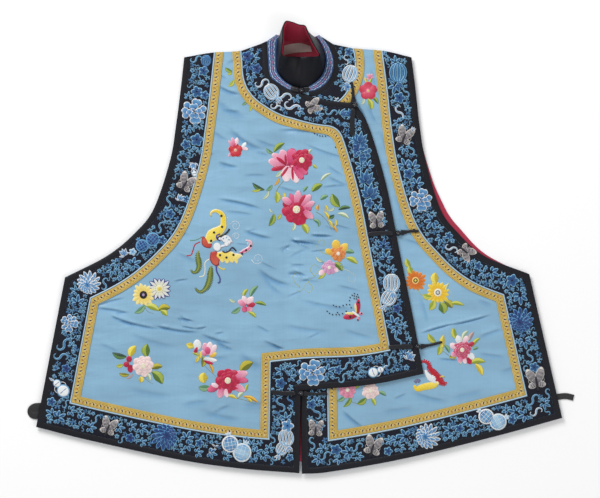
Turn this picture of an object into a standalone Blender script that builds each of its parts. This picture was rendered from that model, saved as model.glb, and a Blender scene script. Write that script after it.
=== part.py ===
"""Embroidered silk waistcoat with a cut-away lapel, laid flat with its front up.

The two fronts lie on the back and its lining.  The left front (at -X) carries a wide lapel
that crosses over the right front and ends in a step above the centre slit.  Bindings,
embroidered borders, piping and ribbons lie on the fronts and follow their edges.
X runs across the garment, Y up to the neck, Z out of the front; the underside is z = 0.
Tables are in millimetres and the model is in metres.
"""
import math

import bmesh
import bpy
import numpy as np
from mathutils import Vector
from mathutils.geometry import delaunay_2d_cdt

COLLECTION = "embroidered_waistcoat"
MM = 0.001

# Cloth, in millimetres.
GAP = 0.3                 # air between two pieces that touch on the real garment
BACK_WALL = 1.2
LINING_WALL = 1.0
LINING_INSET = 0.4        # how far the back's lining stays inside its edge
FRONT_WALL = 1.5
TRIM_WALL = 1.0           # bindings, borders, piping, ribbons and braid
EDGE_TOP = 4.7            # top of a front's wall along its outer edge
PUFF = 3.0                # how much higher the middle of a front lies
PUFF_REACH = 45.0         # distance over which a front rises from its edge
LAPEL_LIFT = 3.5          # extra height of the lapel over the right front and its trims
LIFT_FROM = (-26, -300)   # x and y where the lift begins
LIFT_OVER = (24, 80)      # distances over which it grows
SAME_POINT = 0.4          # points nearer than this along an outline are one
NEAR = 0.2                # a point this near a line lies on it
PARALLEL = 1e-9           # two lines whose directions differ less than this never cross
BEYOND = 100.0            # an edge is lengthened this far to find its corners

# Trims, in millimetres inward from the edge that they follow.
BINDING = 8.0
PIPING = 2.5
RIBBON = 12.0
STEP_ALONG = 20.0         # distance between points along a curved edge
LATTICE = 27.0            # distance between points inside a panel
LATTICE_ROW = LATTICE * math.sqrt(3) / 2
CLEAR_OF_CREASE = 15.0    # lattice points keep this far from a crease's points
CLEAR_OF_EDGE = 12.0      # and this far from the innermost trim
CREASE_CLEAR = 5.0        # a crease's points keep this far from it
CREASE_FLANK = 1.1        # a crease's side points, in half widths from its middle
CREASE_STEP = 1.5         # and the distance between its points, in half widths

# Edges of the cut: the points that each smooth edge runs through, as (x, y).
# "margin" is the width of binding, border and piping together along that edge.
LEFT_EDGES = (
    # name, margin, points
    ("shoulder", 0, ((-51, 309), (-63, 304), (-91, 294.5), (-133, 292), (-174, 285))),
    ("armhole", 45, ((-174, 285), (-179, 239), (-186, 185), (-195, 131), (-219, 59),
                     (-246, 23), (-289, -13), (-353, -46))),
    ("side", 44, ((-353, -46), (-396, -269))),
    ("hem", 48, ((-396, -269), (-316, -289), (-181, -318), (-91, -331), (-3, -338))),
    ("slit", 43, ((-3, -338), (-1, -214))),
    ("step", 41, ((-1, -214), (104, -205), (183, -189))),
    ("lapel", 42, ((183, -189), (165, -94), (147, -6), (131, 76), (116, 134), (98, 188),
                   (81, 215))),
    ("neck", 41, ((81, 215), (59, 217), (36, 220), (14, 226), (-1, 231), (-15, 235),
                  (-31, 244), (-46, 257), (-49, 281), (-51, 309))),
)
RIGHT_EDGES = (
    ("inner", 0, ((0.5, -190), (0.5, 231))),
    ("neck_plain", 0, ((0.5, 231), (12, 233))),
    ("neck_end", 0, ((12, 233), (12, 150))),
    ("neck", 34, ((12, 233), (26, 237), (41, 249), (48.5, 266), (48.5, 284), (41, 303),
                  (32, 314))),
    ("shoulder", 0, ((32, 314), (41, 308), (62, 300.5), (89, 297.5), (128, 294), (165, 285))),
    ("armhole", 43, ((165, 285), (171, 239), (177, 185), (186, 131), (209, 59), (236, 23),
                     (276, -13), (342, -41))),
    ("side", 45, ((342, -41), (391, -255.5))),
    ("hem", 47, ((391, -255.5), (291, -283), (156, -316), (44, -336), (2.5, -339))),
    ("slit", 41, ((2.5, -339), (0.5, -190))),
    ("slit_end", 0, ((60, -190), (0.5, -190))),
)
BACK_OUTLINE = (
    ((-35, 317), (-63, 302), (-91, 293), (-133, 290), (-172.5, 283.5)),
    ((-172.5, 283.5), (-177, 239), (-184, 185), (-193, 131), (-217, 59), (-244, 23),
     (-288, -14), (-351, -47.5)),
    ((-351, -47.5), (-394, -267)),
    ((-394, -267), (-316, -284), (-181, -308), (-91, -318), (0, -321.5), (156, -306),
     (291, -279), (389, -253.5)),
    ((389, -253.5), (340.5, -42.5)),
    ((340.5, -42.5), (277, -12.5), (239.5, 23), (213.5, 59), (190.5, 131), (179, 185),
     (170, 239), (163.5, 283.5)),
    ((163.5, 283.5), (128, 292), (89, 295.5), (62, 298.5), (41, 306), (26, 317)),
    ((26, 317), (10, 314), (-5, 312), (-20, 314), (-35, 317)),
)

# The largest creases: a trough (negative) or ridge between two points.
CREASES = (
    # panel, x1, y1, x2, y2, half_width, height
    ("left", -118, 206, -76, 190, 12, 0.9),
    ("left", -116, 66, -80, 60, 10, 0.8),
    ("left", -110, 24, -68, 12, 10, 0.9),
    ("left", -242, -100, -140, -122, 12, 1.1),
    ("left", -128, -130, -104, -146, 11, 0.8),
    ("left", -146, -222, -68, -248, 18, -1.0),
    ("left", -50, -140, -24, -154, 10, 0.7),
    ("right", 184, -127, 284, -101, 12, 1.2),
    ("right", 66, -247, 92, -270, 11, 1.0),
    ("right", 86, 216, 108, 186, 11, -0.8),
)

# The collar stands on its seam round the neck and leans back: one row for each place
# round it, from one end at the centre front to the other.
COLLAR_HEIGHT = 48.0
COLLAR_WALL = 1.6
COLLAR_STACK = COLLAR_WALL + GAP + LINING_WALL
COLLAR_BULGE = 2.0
COLLAR_ROWS = 4
COLLAR_STEP = 9.0
FOOT_ROOM = 1.1 * COLLAR_STACK   # how much a leaning foot is raised, to stay off the lining
COLLAR = (
    # seam_x, seam_y, rim_x, rim_y
    (0.6, 239, 0.6, 284), (12, 241.5, 11, 284), (26, 251, 22, 284), (35, 265, 29, 286),
    (37.5, 285, 25, 294), (31, 304, 17, 307), (22, 315, 11, 320), (10, 311.5, 7, 330),
    (-5, 309, -3, 332.5), (-19, 311, -13, 336), (-28.5, 315.5, -22.5, 337),
    (-35, 311, -27, 327), (-36.5, 298, -28, 309), (-36.5, 281, -30, 294),
    (-35.5, 264, -29, 286), (-26, 251, -21, 284), (-14, 243, -11, 284),
    (-1.6, 239, -1.6, 284),
)
COLLAR_LEFT_SHOULDER = (-28.5, 315.5)
COLLAR_RIGHT_SHOULDER = (22, 315)
NECK_POINT = {"left": (-37, 319), "right": (27.5, 318.5)}   # top of each shoulder seam
BRAID_END_LEFT = -14.0    # x where the braid stops on each side of the neck closure
BRAID_END_RIGHT = 12.0
SEAM_GAP = 1.2            # between the collar and the fronts' neck edges
LINING_TOP = BACK_WALL + GAP + LINING_WALL
COLLAR_FOOT = LINING_TOP + GAP
LABEL_WALL = 0.8
LABEL_STEP = 8.0
LABEL_TOP = ((-25, 302.5), (-12, 305.5), (1, 306), (14, 302))
LABEL_BOTTOM = ((17, 293.5), (3, 292.5), (-12, 291.5), (-27, 287.5))

# Closures: a strap sewn to the lapel, a knot at its end, and a loop from the other front.
STRAP_HALF = (3.6, 1.1)   # half width and half thickness
LOOP_HALF = (2.6, 1.0)
KNOT_RADIUS = 4.2
KNOT_FLAT = 0.75          # knot height over width
CORD_REST = 0.45          # air under a cord, over facets that stand in for a curve
STRAP_STEP = 7.0
STRAP_LENGTHS = 4         # a cord has at least this many lengths
STRAP_REACH = 0.6         # how far along, in steps, a cord clears what it lies on
STRAP_SIDES = 8
CLOSURES = (
    # name, strap points, knot, loop points
    ("top", ((77, 167), (77, 190), (79, 208)), (81, 213), ((79, 219), (78, 236), (76, 248))),
    ("chest", ((101, 19), (120, 21), (138, 21)), (146, 21), ((153, 22), (164, 24), (177, 24))),
    ("waist", ((132, -150), (152, -149), (168, -149)), (175, -149),
     ((181, -149), (197, -146), (212, -142))),
    ("slit", ((-44, -217), (-24, -219), (-8, -219)), (0, -219),
     ((8, -219.5), (24, -220), (40, -219))),
    ("neck", ((-15, 238), (-9, 236), (-3, 235)), (1.3, 235), ((7, 236), (10, 237), (13, 238))),
)

SILK_BLUE = (0.24, 0.45, 0.62)
NAVY = (0.012, 0.013, 0.03)
BLACK_SATIN = (0.010, 0.010, 0.016)
PALE_BLUE = (0.42, 0.60, 0.78)
GOLD = (0.70, 0.47, 0.08)
CRIMSON = (0.36, 0.01, 0.045)
BRAID_BLUE = (0.30, 0.38, 0.62)
IVORY = (0.60, 0.50, 0.42)

# Side ties, as (x, y) along the middle of each ribbon.
TIE_HALF_WIDTH = 4.5
TIE_WALL = 1.0
TIE_STEP = 6.0
TIE_RIGHT = ((383.1, -225.3), (397, -223.5), (409.5, -226))
TIE_LEFT = ((-389.6, -238.2), (-401, -238.5), (-407, -244), (-405, -251), (-392.9, -253.5))


def material(name, colour, roughness):
    """Principled material of one colour."""
    made = bpy.data.materials.new(name)
    made.use_nodes = True
    shader = made.node_tree.nodes["Principled BSDF"]
    shader.inputs["Base Color"].default_value = (*colour, 1.0)
    shader.inputs["Roughness"].default_value = roughness
    shader.inputs["Metallic"].default_value = 0.0
    return made


def add_object(name, mesh, colour, roughness=0.6):
    """Put a mesh in the collection as one named piece with its own material."""
    mesh.name = name
    mesh.materials.append(material(name, colour, roughness))
    piece = bpy.data.objects.new(name, mesh)
    bpy.data.collections[COLLECTION].objects.link(piece)
    return piece


# ---------------------------------------------------------------- lines in the plane

def smooth(points, step=STEP_ALONG):
    """Curve through the points (Catmull-Rom), with a point about every step."""
    points = [np.array(p, float) for p in points]
    if len(points) == 2:
        count = max(1, round(np.linalg.norm(points[1] - points[0]) / (2 * step)))
        return [points[0] + (points[1] - points[0]) * i / count for i in range(count + 1)]
    ends = [2 * points[0] - points[1]] + points + [2 * points[-1] - points[-2]]
    curve = [points[0]]
    for before, a, b, after in zip(ends, ends[1:], ends[2:], ends[3:]):
        count = max(1, round(np.linalg.norm(b - a) / step))
        for i in range(1, count + 1):
            t = i / count
            curve.append(0.5 * (2 * a + (b - before) * t
                                + (2 * before - 5 * a + 4 * b - after) * t * t
                                + (3 * a - before - 3 * b + after) * t ** 3))
    return curve


def offset(line, distance):
    """A line moved sideways; positive is to the left of its direction."""
    line = np.array(line)
    along = np.gradient(line, axis=0)
    along /= np.linalg.norm(along, axis=1)[:, None]
    return line + distance * np.stack([-along[:, 1], along[:, 0]], axis=1)


def lengthened(line):
    """A line with a straight piece added at each end."""
    first = line[0] + BEYOND * (line[0] - line[1]) / np.linalg.norm(line[0] - line[1])
    last = line[-1] + BEYOND * (line[-1] - line[-2]) / np.linalg.norm(line[-1] - line[-2])
    return np.vstack([first, line, last])


def crossing(first, second, near):
    """Where two lines cross: (segment of first, segment of second, point)."""
    found = []
    for i, (a, b) in enumerate(zip(first, first[1:])):
        for j, (c, d) in enumerate(zip(second, second[1:])):
            r, s = b - a, d - c
            cross = r[0] * s[1] - r[1] * s[0]
            if abs(cross) < PARALLEL:
                continue
            t = ((c - a)[0] * s[1] - (c - a)[1] * s[0]) / cross
            u = ((c - a)[0] * r[1] - (c - a)[1] * r[0]) / cross
            if max(abs(t - 0.5), abs(u - 0.5)) <= 0.5 + PARALLEL:
                point = a + t * r
                found.append((np.linalg.norm(point - near), i, j, point))
    return min(found, key=lambda f: f[0])[1:]


def ring(edges, distances):
    """Closed outline whose edges lie at their own distances inside the cut edges.

    Returns the points and, for each edge, its corner at the start.
    """
    lines = [lengthened(offset(line, d)) if d else lengthened(np.array(line))
             for (_, _, line), d in zip(edges, distances)]
    meets = [crossing(lines[i - 1], lines[i], np.array(edges[i][2][0]))
             for i in range(len(lines))]
    points, corners = [], []
    for i, line in enumerate(lines):
        start, end = meets[i], meets[(i + 1) % len(lines)]
        corners.append(start[2])
        inside = [line[k] for k in range(start[1] + 1, end[0] + 1)]
        for p in [start[2]] + inside:
            if not points or np.linalg.norm(p - points[-1]) > SAME_POINT:
                points.append(p)
    if np.linalg.norm(points[0] - points[-1]) < SAME_POINT:
        points.pop()
    return np.array(points), corners


def contains(polygon, point):
    """Even-odd test of a point against a closed polygon."""
    x, y = point
    a, b = np.asarray(polygon), np.roll(polygon, -1, axis=0)
    straddles = (a[:, 1] > y) != (b[:, 1] > y)
    rise = np.where(straddles, b[:, 1] - a[:, 1], 1.0)
    hit = a[:, 0] + (y - a[:, 1]) * (b[:, 0] - a[:, 0]) / rise
    return np.count_nonzero(straddles & (x < hit)) % 2 == 1


def distance(point, line, closed=True):
    """Distance from a point to the nearest segment of a line."""
    a = np.asarray(line, float)
    b = np.roll(a, -1, axis=0)
    if not closed:
        a, b = a[:-1], b[:-1]
    ab = b - a
    t = np.clip(((point - a) * ab).sum(1) / (ab ** 2).sum(1), 0, 1)
    return np.linalg.norm(a + t[:, None] * ab - point, axis=1).min()


# ---------------------------------------------------------------- heights

def ease(t):
    """Smooth step from 0 to 1."""
    t = min(1.0, max(0.0, t))
    return t * t * (3 - 2 * t)


def front_height(panel, point):
    """Height of a front's outer face, in millimetres."""
    x, y = point
    rise = 1 - math.exp(-distance(point, SILHOUETTE) / PUFF_REACH)
    height = EDGE_TOP + PUFF * rise
    if panel == "left":
        height += (LAPEL_LIFT * ease((x - LIFT_FROM[0]) / LIFT_OVER[0])
                   * ease((y - LIFT_FROM[1]) / LIFT_OVER[1]))
    for owner, x1, y1, x2, y2, half_width, rise in CREASES:
        if owner == panel:
            away = distance(point, [(x1, y1), (x2, y2)], closed=False)
            height += rise * math.exp(-(away / half_width) ** 2)
    return height


def top_height(point):
    """Height of whatever lies uppermost at a point of the fronts, trims included."""
    front = LEFT if contains(LEFT.rings[0], point) or point[0] < 0 else RIGHT
    ringed = contains(front.rings[0], point) and not contains(front.rings[-1], point)
    trimmed = ringed or contains(front.braid, point)
    return front.height(point) + (GAP + TRIM_WALL if trimmed else 0)


# ---------------------------------------------------------------- cloth solids

def triangulate(lines, extra, keep):
    """Triangles over closed lines and loose points, kept where keep(centre) holds."""
    points, edges, seen = [], [], {}

    def number(p):
        key = (round(p[0], 1), round(p[1], 1))
        if key not in seen:
            seen[key] = len(points)
            points.append(Vector((p[0], p[1])))
        return seen[key]

    for line, closed in lines:
        ids = [number(p) for p in line]
        pairs = list(zip(ids, ids[1:] + ids[:1])) if closed else list(zip(ids, ids[1:]))
        edges += [(a, b) for a, b in pairs if a != b]
    for p in extra:
        number(p)
    verts, _, faces, *_ = delaunay_2d_cdt(points, edges, [], 0, NEAR)
    verts = np.array([(v.x, v.y) for v in verts])
    return verts, [tuple(f) for f in faces
                   if thickness(*verts[list(f)]) > NEAR and keep(verts[list(f)].mean(axis=0))]


def thickness(a, b, c):
    """Smallest height of a triangle."""
    longest = max(np.linalg.norm(b - a), np.linalg.norm(c - b), np.linalg.norm(a - c))
    return abs((b - a)[0] * (c - a)[1] - (b - a)[1] * (c - a)[0]) / longest


def sheet_mesh(verts, faces, height, wall, inset=0.0):
    """Solid cloth: faces at a height with a wall below, its edge drawn in by inset."""
    used = sorted({i for f in faces for i in f})
    place = {v: k for k, v in enumerate(used)}
    bm = bmesh.new()
    flat = verts[used]
    tops = [bm.verts.new((*(p * MM), height(p) * MM)) for p in flat]
    for f in faces:
        bm.faces.new([tops[place[i]] for i in f])
    bmesh.ops.recalc_face_normals(bm, faces=bm.faces)
    if sum(f.normal.z for f in bm.faces) < 0:
        bmesh.ops.reverse_faces(bm, faces=bm.faces)
    if inset:
        draw_in(bm, inset * MM)
    lower = bmesh.ops.extrude_face_region(bm, geom=bm.faces[:], use_keep_orig=True)
    moved = [g for g in lower["geom"] if isinstance(g, bmesh.types.BMVert)]
    bmesh.ops.translate(bm, verts=moved, vec=(0, 0, -wall * MM))
    bmesh.ops.recalc_face_normals(bm, faces=bm.faces)
    mesh = bpy.data.meshes.new("cloth")
    bm.to_mesh(mesh)
    bm.free()
    return mesh


def draw_in(bm, amount):
    """Move the border vertices of an open sheet inward across the plane."""
    moves = {}
    for edge in bm.edges:
        if not edge.is_boundary:
            continue
        loop = edge.link_loops[0]
        a, b = loop.vert, loop.link_loop_next.vert
        along = (b.co - a.co).to_2d().normalized()
        inward = Vector((-along.y, along.x))
        moves.setdefault(a, []).append(inward)
        moves.setdefault(b, []).append(inward)
    for vert, sides in moves.items():
        total = sides[0] + sides[-1] if len(sides) > 1 else sides[0]
        scale = amount / max(0.25, (1 + sides[0].dot(sides[-1])) / 2)
        shift = total / len(sides) * scale
        vert.co.x += shift.x
        vert.co.y += shift.y


class Front:
    """One front panel with the rings of its trims and the neck strip under its braid."""

    def __init__(self, side, edges, seam, braid_end):
        self.side = side
        self.edges = [(name, margin, smooth(points)) for name, margin, points in edges]
        inward = 1 if side == "left" else -1
        margins = np.array([margin for _, margin, _ in self.edges], float)
        on = margins > 0
        widths = (0 * margins, BINDING * on, (BINDING + margins - PIPING) / 2 * on,
                  (margins - PIPING) * on, margins * on, (margins + RIBBON) * on)
        self.rings, self.corners = zip(*(ring(self.edges, inward * w) for w in widths))
        lines = {name: line for name, _, line in self.edges}
        if side == "left":
            path = [p for p in lines["neck"] if p[0] < -0.5 and p[1] > 230]
        else:
            path = lines["neck_plain"] + lines["neck"][1:]
        self.strip = np.array(seam + [np.array(NECK_POINT[side])] + path[::-1])
        outward = -1 if side == "left" else 1
        self.braid = np.array([p for p in self.strip if (p[0] - braid_end) * outward > -0.01])

    def height(self, point):
        return front_height(self.side, point)

    def cut(self):
        """Triangulate the panel on its rings, mitres, creases and an even lattice."""
        lines = [(r, True) for r in self.rings] + [(self.strip, True), (self.braid, True)]
        for i, (_, margin, _) in enumerate(self.edges):
            if margin or self.edges[i - 1][1]:
                lines.append(([self.corners[k][i] for k in (1, 2, 3)], False))
        inner = self.rings[-1]
        extra = []
        for owner, x1, y1, x2, y2, half_width, _ in CREASES:
            if owner == self.side:
                extra += crease_points(np.array((x1, y1)), np.array((x2, y2)), half_width)
        fixed = list(extra)
        low, high = inner.min(axis=0), inner.max(axis=0)
        row = 0
        for y in np.arange(low[1], high[1], LATTICE_ROW):
            row += 1
            for x in np.arange(low[0] + LATTICE / 2 * (row % 2), high[0], LATTICE):
                p = np.array((x, y))
                clear = all(np.linalg.norm(p - q) > CLEAR_OF_CREASE for q in fixed)
                if clear and contains(inner, p) and distance(p, inner) > CLEAR_OF_EDGE:
                    extra.append(p)
        extra = [p for p in extra if contains(inner, p) and distance(p, inner) > CREASE_CLEAR]
        self.verts, self.faces = triangulate(
            lines, extra, lambda c: contains(self.rings[0], c) or contains(self.strip, c))
        self.centres = [self.verts[list(f)].mean(axis=0) for f in self.faces]

    def build_panel(self, colour):
        mesh = sheet_mesh(self.verts, self.faces, self.height, FRONT_WALL)
        add_object(f"front_{self.side}", mesh, colour)

    def build_trim(self, name, faces, colour, roughness=0.6):
        """A trim: some of the panel's faces moved out by the gap and its own wall."""
        mesh = sheet_mesh(self.verts, faces, lambda p: self.height(p) + GAP + TRIM_WALL,
                          TRIM_WALL, inset=GAP / 2)
        add_object(f"{name}_{self.side}", mesh, colour, roughness)

    def between(self, outer, inner, first, last):
        """Faces between two rings, from the start of edge first to the end of edge last."""
        after = (last + 1) % len(self.edges)
        stretch = band_outline(self.rings[outer], self.rings[inner],
                               self.corners[outer][first], self.corners[outer][after],
                               self.corners[inner][first], self.corners[inner][after])
        return [f for f, c in zip(self.faces, self.centres)
                if contains(self.rings[outer], c) and not contains(self.rings[inner], c)
                and contains(stretch, c)]

    def build_trims(self):
        """Long trims for each run of trimmed edges, and one border for each edge."""
        trimmed = [i for i, (_, margin, _) in enumerate(self.edges) if margin]
        runs = [[i for i in trimmed if self.edges[i][0] == "neck"],
                [i for i in trimmed if self.edges[i][0] != "neck"]]
        names = ("_neck", "")
        if self.side == "left":
            runs, names = [trimmed], ("",)
        for run, suffix in zip(runs, names):
            for trim, outer, inner, colour in (("binding", 0, 1, BLACK_SATIN),
                                               ("piping", 3, 4, PALE_BLUE),
                                               ("ribbon", 4, 5, GOLD)):
                faces = self.between(outer, inner, run[0], run[-1])
                self.build_trim(trim + suffix, faces, colour)
        for i in trimmed:
            self.build_trim(f"border_{self.edges[i][0]}", self.between(1, 3, i, i), NAVY)
        braid = [f for f, c in zip(self.faces, self.centres)
                 if contains(self.braid, c) and not contains(self.rings[0], c)]
        self.build_trim("braid", braid, BRAID_BLUE)


def band_outline(outer, inner, outer_from, outer_to, inner_from, inner_to):
    """Closed outline of the stretch of a band between two mitres."""
    def stretch(line, start, end):
        first = int(np.argmin(np.linalg.norm(line - start, axis=1)))
        last = int(np.argmin(np.linalg.norm(line - end, axis=1)))
        count = (last - first) % len(line)
        return [line[(first + k) % len(line)] for k in range(count + 1)]
    return np.array(stretch(outer, outer_from, outer_to)
                    + stretch(inner, inner_from, inner_to)[::-1])


def crease_points(start, end, half_width):
    """Points along the middle and both flanks of a crease."""
    along = end - start
    length = np.linalg.norm(along)
    along = along / length
    across = np.array((-along[1], along[0]))
    count = max(2, round(length / (CREASE_STEP * half_width)))
    flank = across * CREASE_FLANK * half_width
    points = []
    for i in range(count + 1):
        middle = start + along * length * i / count
        points += [middle, middle + flank, middle - flank]
    return points


# ---------------------------------------------------------------- back, collar, closures

def build_back():
    """Back panel flat on the surface with its lining above it."""
    outline = []
    for points in BACK_OUTLINE:
        outline += smooth(points, 2 * STEP_ALONG)[:-1]
    verts, faces = triangulate([(outline, True)], [], lambda c: contains(outline, c))
    add_object("back", sheet_mesh(verts, faces, lambda p: BACK_WALL, BACK_WALL), SILK_BLUE)
    add_object("back_lining", sheet_mesh(verts, faces, lambda p: LINING_TOP, LINING_WALL,
                                         inset=LINING_INSET), CRIMSON)


def build_label():
    """Blank woven label sewn to the lining below the collar seam."""
    outline = smooth(LABEL_TOP, LABEL_STEP) + smooth(LABEL_BOTTOM, LABEL_STEP)
    verts, faces = triangulate([(outline, True)], [], lambda c: contains(outline, c))
    height = LINING_TOP + GAP + LABEL_WALL
    add_object("label", sheet_mesh(verts, faces, lambda p: height, LABEL_WALL), IVORY)


def collar_surface():
    """Open surface of the collar's outer face: columns of points from seam to rim."""
    columns = []
    for seam_x, seam_y, rim_x, rim_y in smooth(COLLAR, COLLAR_STEP):
        seam, rim = np.array((seam_x, seam_y)), np.array((rim_x, rim_y))
        lean = np.linalg.norm(rim - seam)
        rise = math.sqrt(max(0.0, COLLAR_HEIGHT ** 2 - lean ** 2))
        foot = COLLAR_FOOT + FOOT_ROOM * lean / COLLAR_HEIGHT
        column = []
        for k in range(COLLAR_ROWS + 1):
            t = k / COLLAR_ROWS
            bulge = COLLAR_BULGE * math.sin(math.pi * t) * lean / COLLAR_HEIGHT
            column.append((*(seam + (rim - seam) * t), foot + rise * t + bulge))
        columns.append(column)
    return columns


def layer(columns, outside, inside):
    """Solid wall between two depths below an open surface given as columns of points."""
    bm = bmesh.new()
    grid = [[bm.verts.new(Vector(p)) for p in column] for column in columns]
    for left, right in zip(grid, grid[1:]):
        for k in range(len(left) - 1):
            bm.faces.new((left[k], right[k], right[k + 1]))
            bm.faces.new((left[k], right[k + 1], left[k + 1]))
    bm.normal_update()
    depth = bm.verts.layers.float_vector.new("outward")
    for vert in bm.verts:
        vert[depth] = vert.normal
    inner = bmesh.ops.extrude_face_region(bm, geom=bm.faces[:], use_keep_orig=True)
    inner = {g for g in inner["geom"] if isinstance(g, bmesh.types.BMVert)}
    for vert in bm.verts:
        vert.co = (vert.co - vert[depth] * (inside if vert in inner else outside)) * MM
    bmesh.ops.triangulate(bm, faces=bm.faces)
    bmesh.ops.recalc_face_normals(bm, faces=bm.faces)
    mesh = bpy.data.meshes.new("wall")
    bm.to_mesh(mesh)
    bm.free()
    return mesh


def build_collar():
    """Standing collar of dark satin and, inside it, its crimson lining."""
    columns = collar_surface()
    add_object("collar", layer(columns, 0.0, COLLAR_WALL), BLACK_SATIN, 0.45)
    add_object("collar_lining", layer(columns, COLLAR_WALL + GAP, COLLAR_STACK), CRIMSON)


def strap(name, points, half_width, half_height):
    """Flat rounded strip of cord that follows the top of the fronts."""
    span = math.dist(points[0], points[-1])
    step = min(STRAP_STEP, span / STRAP_LENGTHS)
    line = smooth(points, step)
    bm = bmesh.new()
    loops = []
    for i, p in enumerate(line):
        ahead = line[min(i + 1, len(line) - 1)] - line[max(i - 1, 0)]
        along = ahead / np.linalg.norm(ahead)
        across = np.array((-along[1], along[0]))
        z = max(top_height(p + across * s * half_width + along * t * step * STRAP_REACH)
                for s in (-1, 0, 1) for t in (-1, 0, 1))
        z += CORD_REST + half_height
        loops.append([])
        for k in range(STRAP_SIDES):
            angle = math.tau * (k + 0.5) / STRAP_SIDES
            flat = p + across * half_width * math.cos(angle)
            height = z + half_height * math.sin(angle)
            loops[-1].append(bm.verts.new(Vector((*flat, height)) * MM))
    for a, b in zip(loops, loops[1:]):
        for k in range(STRAP_SIDES):
            after = (k + 1) % STRAP_SIDES
            bm.faces.new((a[k], a[after], b[after], b[k]))
    bm.faces.new(loops[0])
    bm.faces.new(loops[-1])
    bmesh.ops.recalc_face_normals(bm, faces=bm.faces)
    bmesh.ops.triangulate(bm, faces=bm.faces)
    mesh = bpy.data.meshes.new(name)
    bm.to_mesh(mesh)
    bm.free()
    add_object(name, mesh, BLACK_SATIN, 0.5)


def build_closure(name, strap_points, knot, loop_points):
    """One closure: strap, knot and loop, end to end over the lapel's edge."""
    strap(f"strap_{name}", strap_points, *STRAP_HALF)
    strap(f"loop_{name}", loop_points, *LOOP_HALF)
    bm = bmesh.new()
    bmesh.ops.create_icosphere(bm, subdivisions=2, radius=KNOT_RADIUS * MM)
    for vert in bm.verts:
        vert.co.z *= KNOT_FLAT
    middle = np.array(knot, float)
    around = [middle + KNOT_RADIUS * np.array(side)
              for side in ((0, 0), (1, 0), (0, 1), (-1, 0), (0, -1))]
    z = max(top_height(p) for p in around) + CORD_REST + KNOT_FLAT * KNOT_RADIUS
    bmesh.ops.translate(bm, verts=bm.verts, vec=Vector((*knot, z)) * MM)
    mesh = bpy.data.meshes.new(name)
    bm.to_mesh(mesh)
    bm.free()
    add_object(f"knot_{name}", mesh, BLACK_SATIN, 0.5)


def build_tie(name, points):
    """Short dark ribbon at a side edge, flat on the surface."""
    line = np.array(smooth(points, TIE_STEP))
    outline = np.vstack([offset(line, TIE_HALF_WIDTH), offset(line, -TIE_HALF_WIDTH)[::-1]])
    verts, faces = triangulate([(outline, True)], [], lambda c: contains(outline, c))
    add_object(name, sheet_mesh(verts, faces, lambda p: TIE_WALL, TIE_WALL), BLACK_SATIN)


# ---------------------------------------------------------------- the garment

def seam_lines():
    """Neck seams beside the collar, each from the centre front to its shoulder."""
    seam = [np.array(column[0][:2]) for column in collar_surface()]
    right_end, left_end = (int(np.argmin([np.linalg.norm(p - shoulder) for p in seam]))
                           for shoulder in (COLLAR_RIGHT_SHOULDER, COLLAR_LEFT_SHOULDER))
    beside = list(offset(seam, -SEAM_GAP))
    return beside[left_end:][::-1], beside[:right_end + 1]


for old in list(bpy.data.objects):
    bpy.data.objects.remove(old, do_unlink=True)
collection = bpy.data.collections.new(COLLECTION)
bpy.context.scene.collection.children.link(collection)

LEFT_SEAM, RIGHT_SEAM = seam_lines()
LEFT = Front("left", LEFT_EDGES, LEFT_SEAM, BRAID_END_LEFT)
RIGHT = Front("right", RIGHT_EDGES, RIGHT_SEAM, BRAID_END_RIGHT)
SILHOUETTE = np.array([p for points in BACK_OUTLINE for p in smooth(points)[:-1]])

build_back()
build_label()
for front in (RIGHT, LEFT):
    front.cut()
    front.build_panel(SILK_BLUE)
    front.build_trims()
build_collar()
for closure in CLOSURES:
    build_closure(*closure)
build_tie("tie_left", TIE_LEFT)
build_tie("tie_right", TIE_RIGHT)
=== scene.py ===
# %% [markdown]
# # An embroidered silk waistcoat, laid flat
# The garment is two silk fronts on a lined back, edged with bindings, embroidered borders,
# piping and ribbon, and closed with knots and loops of rolled satin. It could be modelled as
# one sheet with a painted pattern, but then every trim would look printed. Here each piece of
# cloth is its own thin solid, laid on the one below, and every motif is raised stitchwork.

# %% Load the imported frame
import math

import bpy
import numpy as np
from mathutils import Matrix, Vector
from mathutils.geometry import delaunay_2d_cdt


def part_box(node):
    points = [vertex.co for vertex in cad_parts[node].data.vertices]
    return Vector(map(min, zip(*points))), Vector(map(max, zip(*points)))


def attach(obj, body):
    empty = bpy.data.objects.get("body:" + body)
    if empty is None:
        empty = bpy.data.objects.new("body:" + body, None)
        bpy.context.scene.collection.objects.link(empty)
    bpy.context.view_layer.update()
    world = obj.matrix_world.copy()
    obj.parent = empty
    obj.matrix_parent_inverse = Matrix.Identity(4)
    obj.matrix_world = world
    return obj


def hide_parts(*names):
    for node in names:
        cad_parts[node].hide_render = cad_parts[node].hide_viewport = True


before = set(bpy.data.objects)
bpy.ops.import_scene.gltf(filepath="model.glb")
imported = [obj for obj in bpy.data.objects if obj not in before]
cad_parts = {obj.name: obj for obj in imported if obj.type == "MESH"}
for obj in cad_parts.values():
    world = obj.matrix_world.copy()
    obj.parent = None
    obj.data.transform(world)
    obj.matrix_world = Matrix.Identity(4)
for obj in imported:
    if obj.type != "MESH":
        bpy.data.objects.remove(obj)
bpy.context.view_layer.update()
MM = 0.001

# %% [markdown]
# ## The cut
# A tailor draws each front as a closed line of smooth edges, and marks how far inside each
# edge the trims reach. The same few points per edge are kept here, in millimetres, with X
# across the garment and Y up to the neck, so that every piece below is measured from one cut.
# A trim is then a band between two depths inside the edge.

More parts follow.
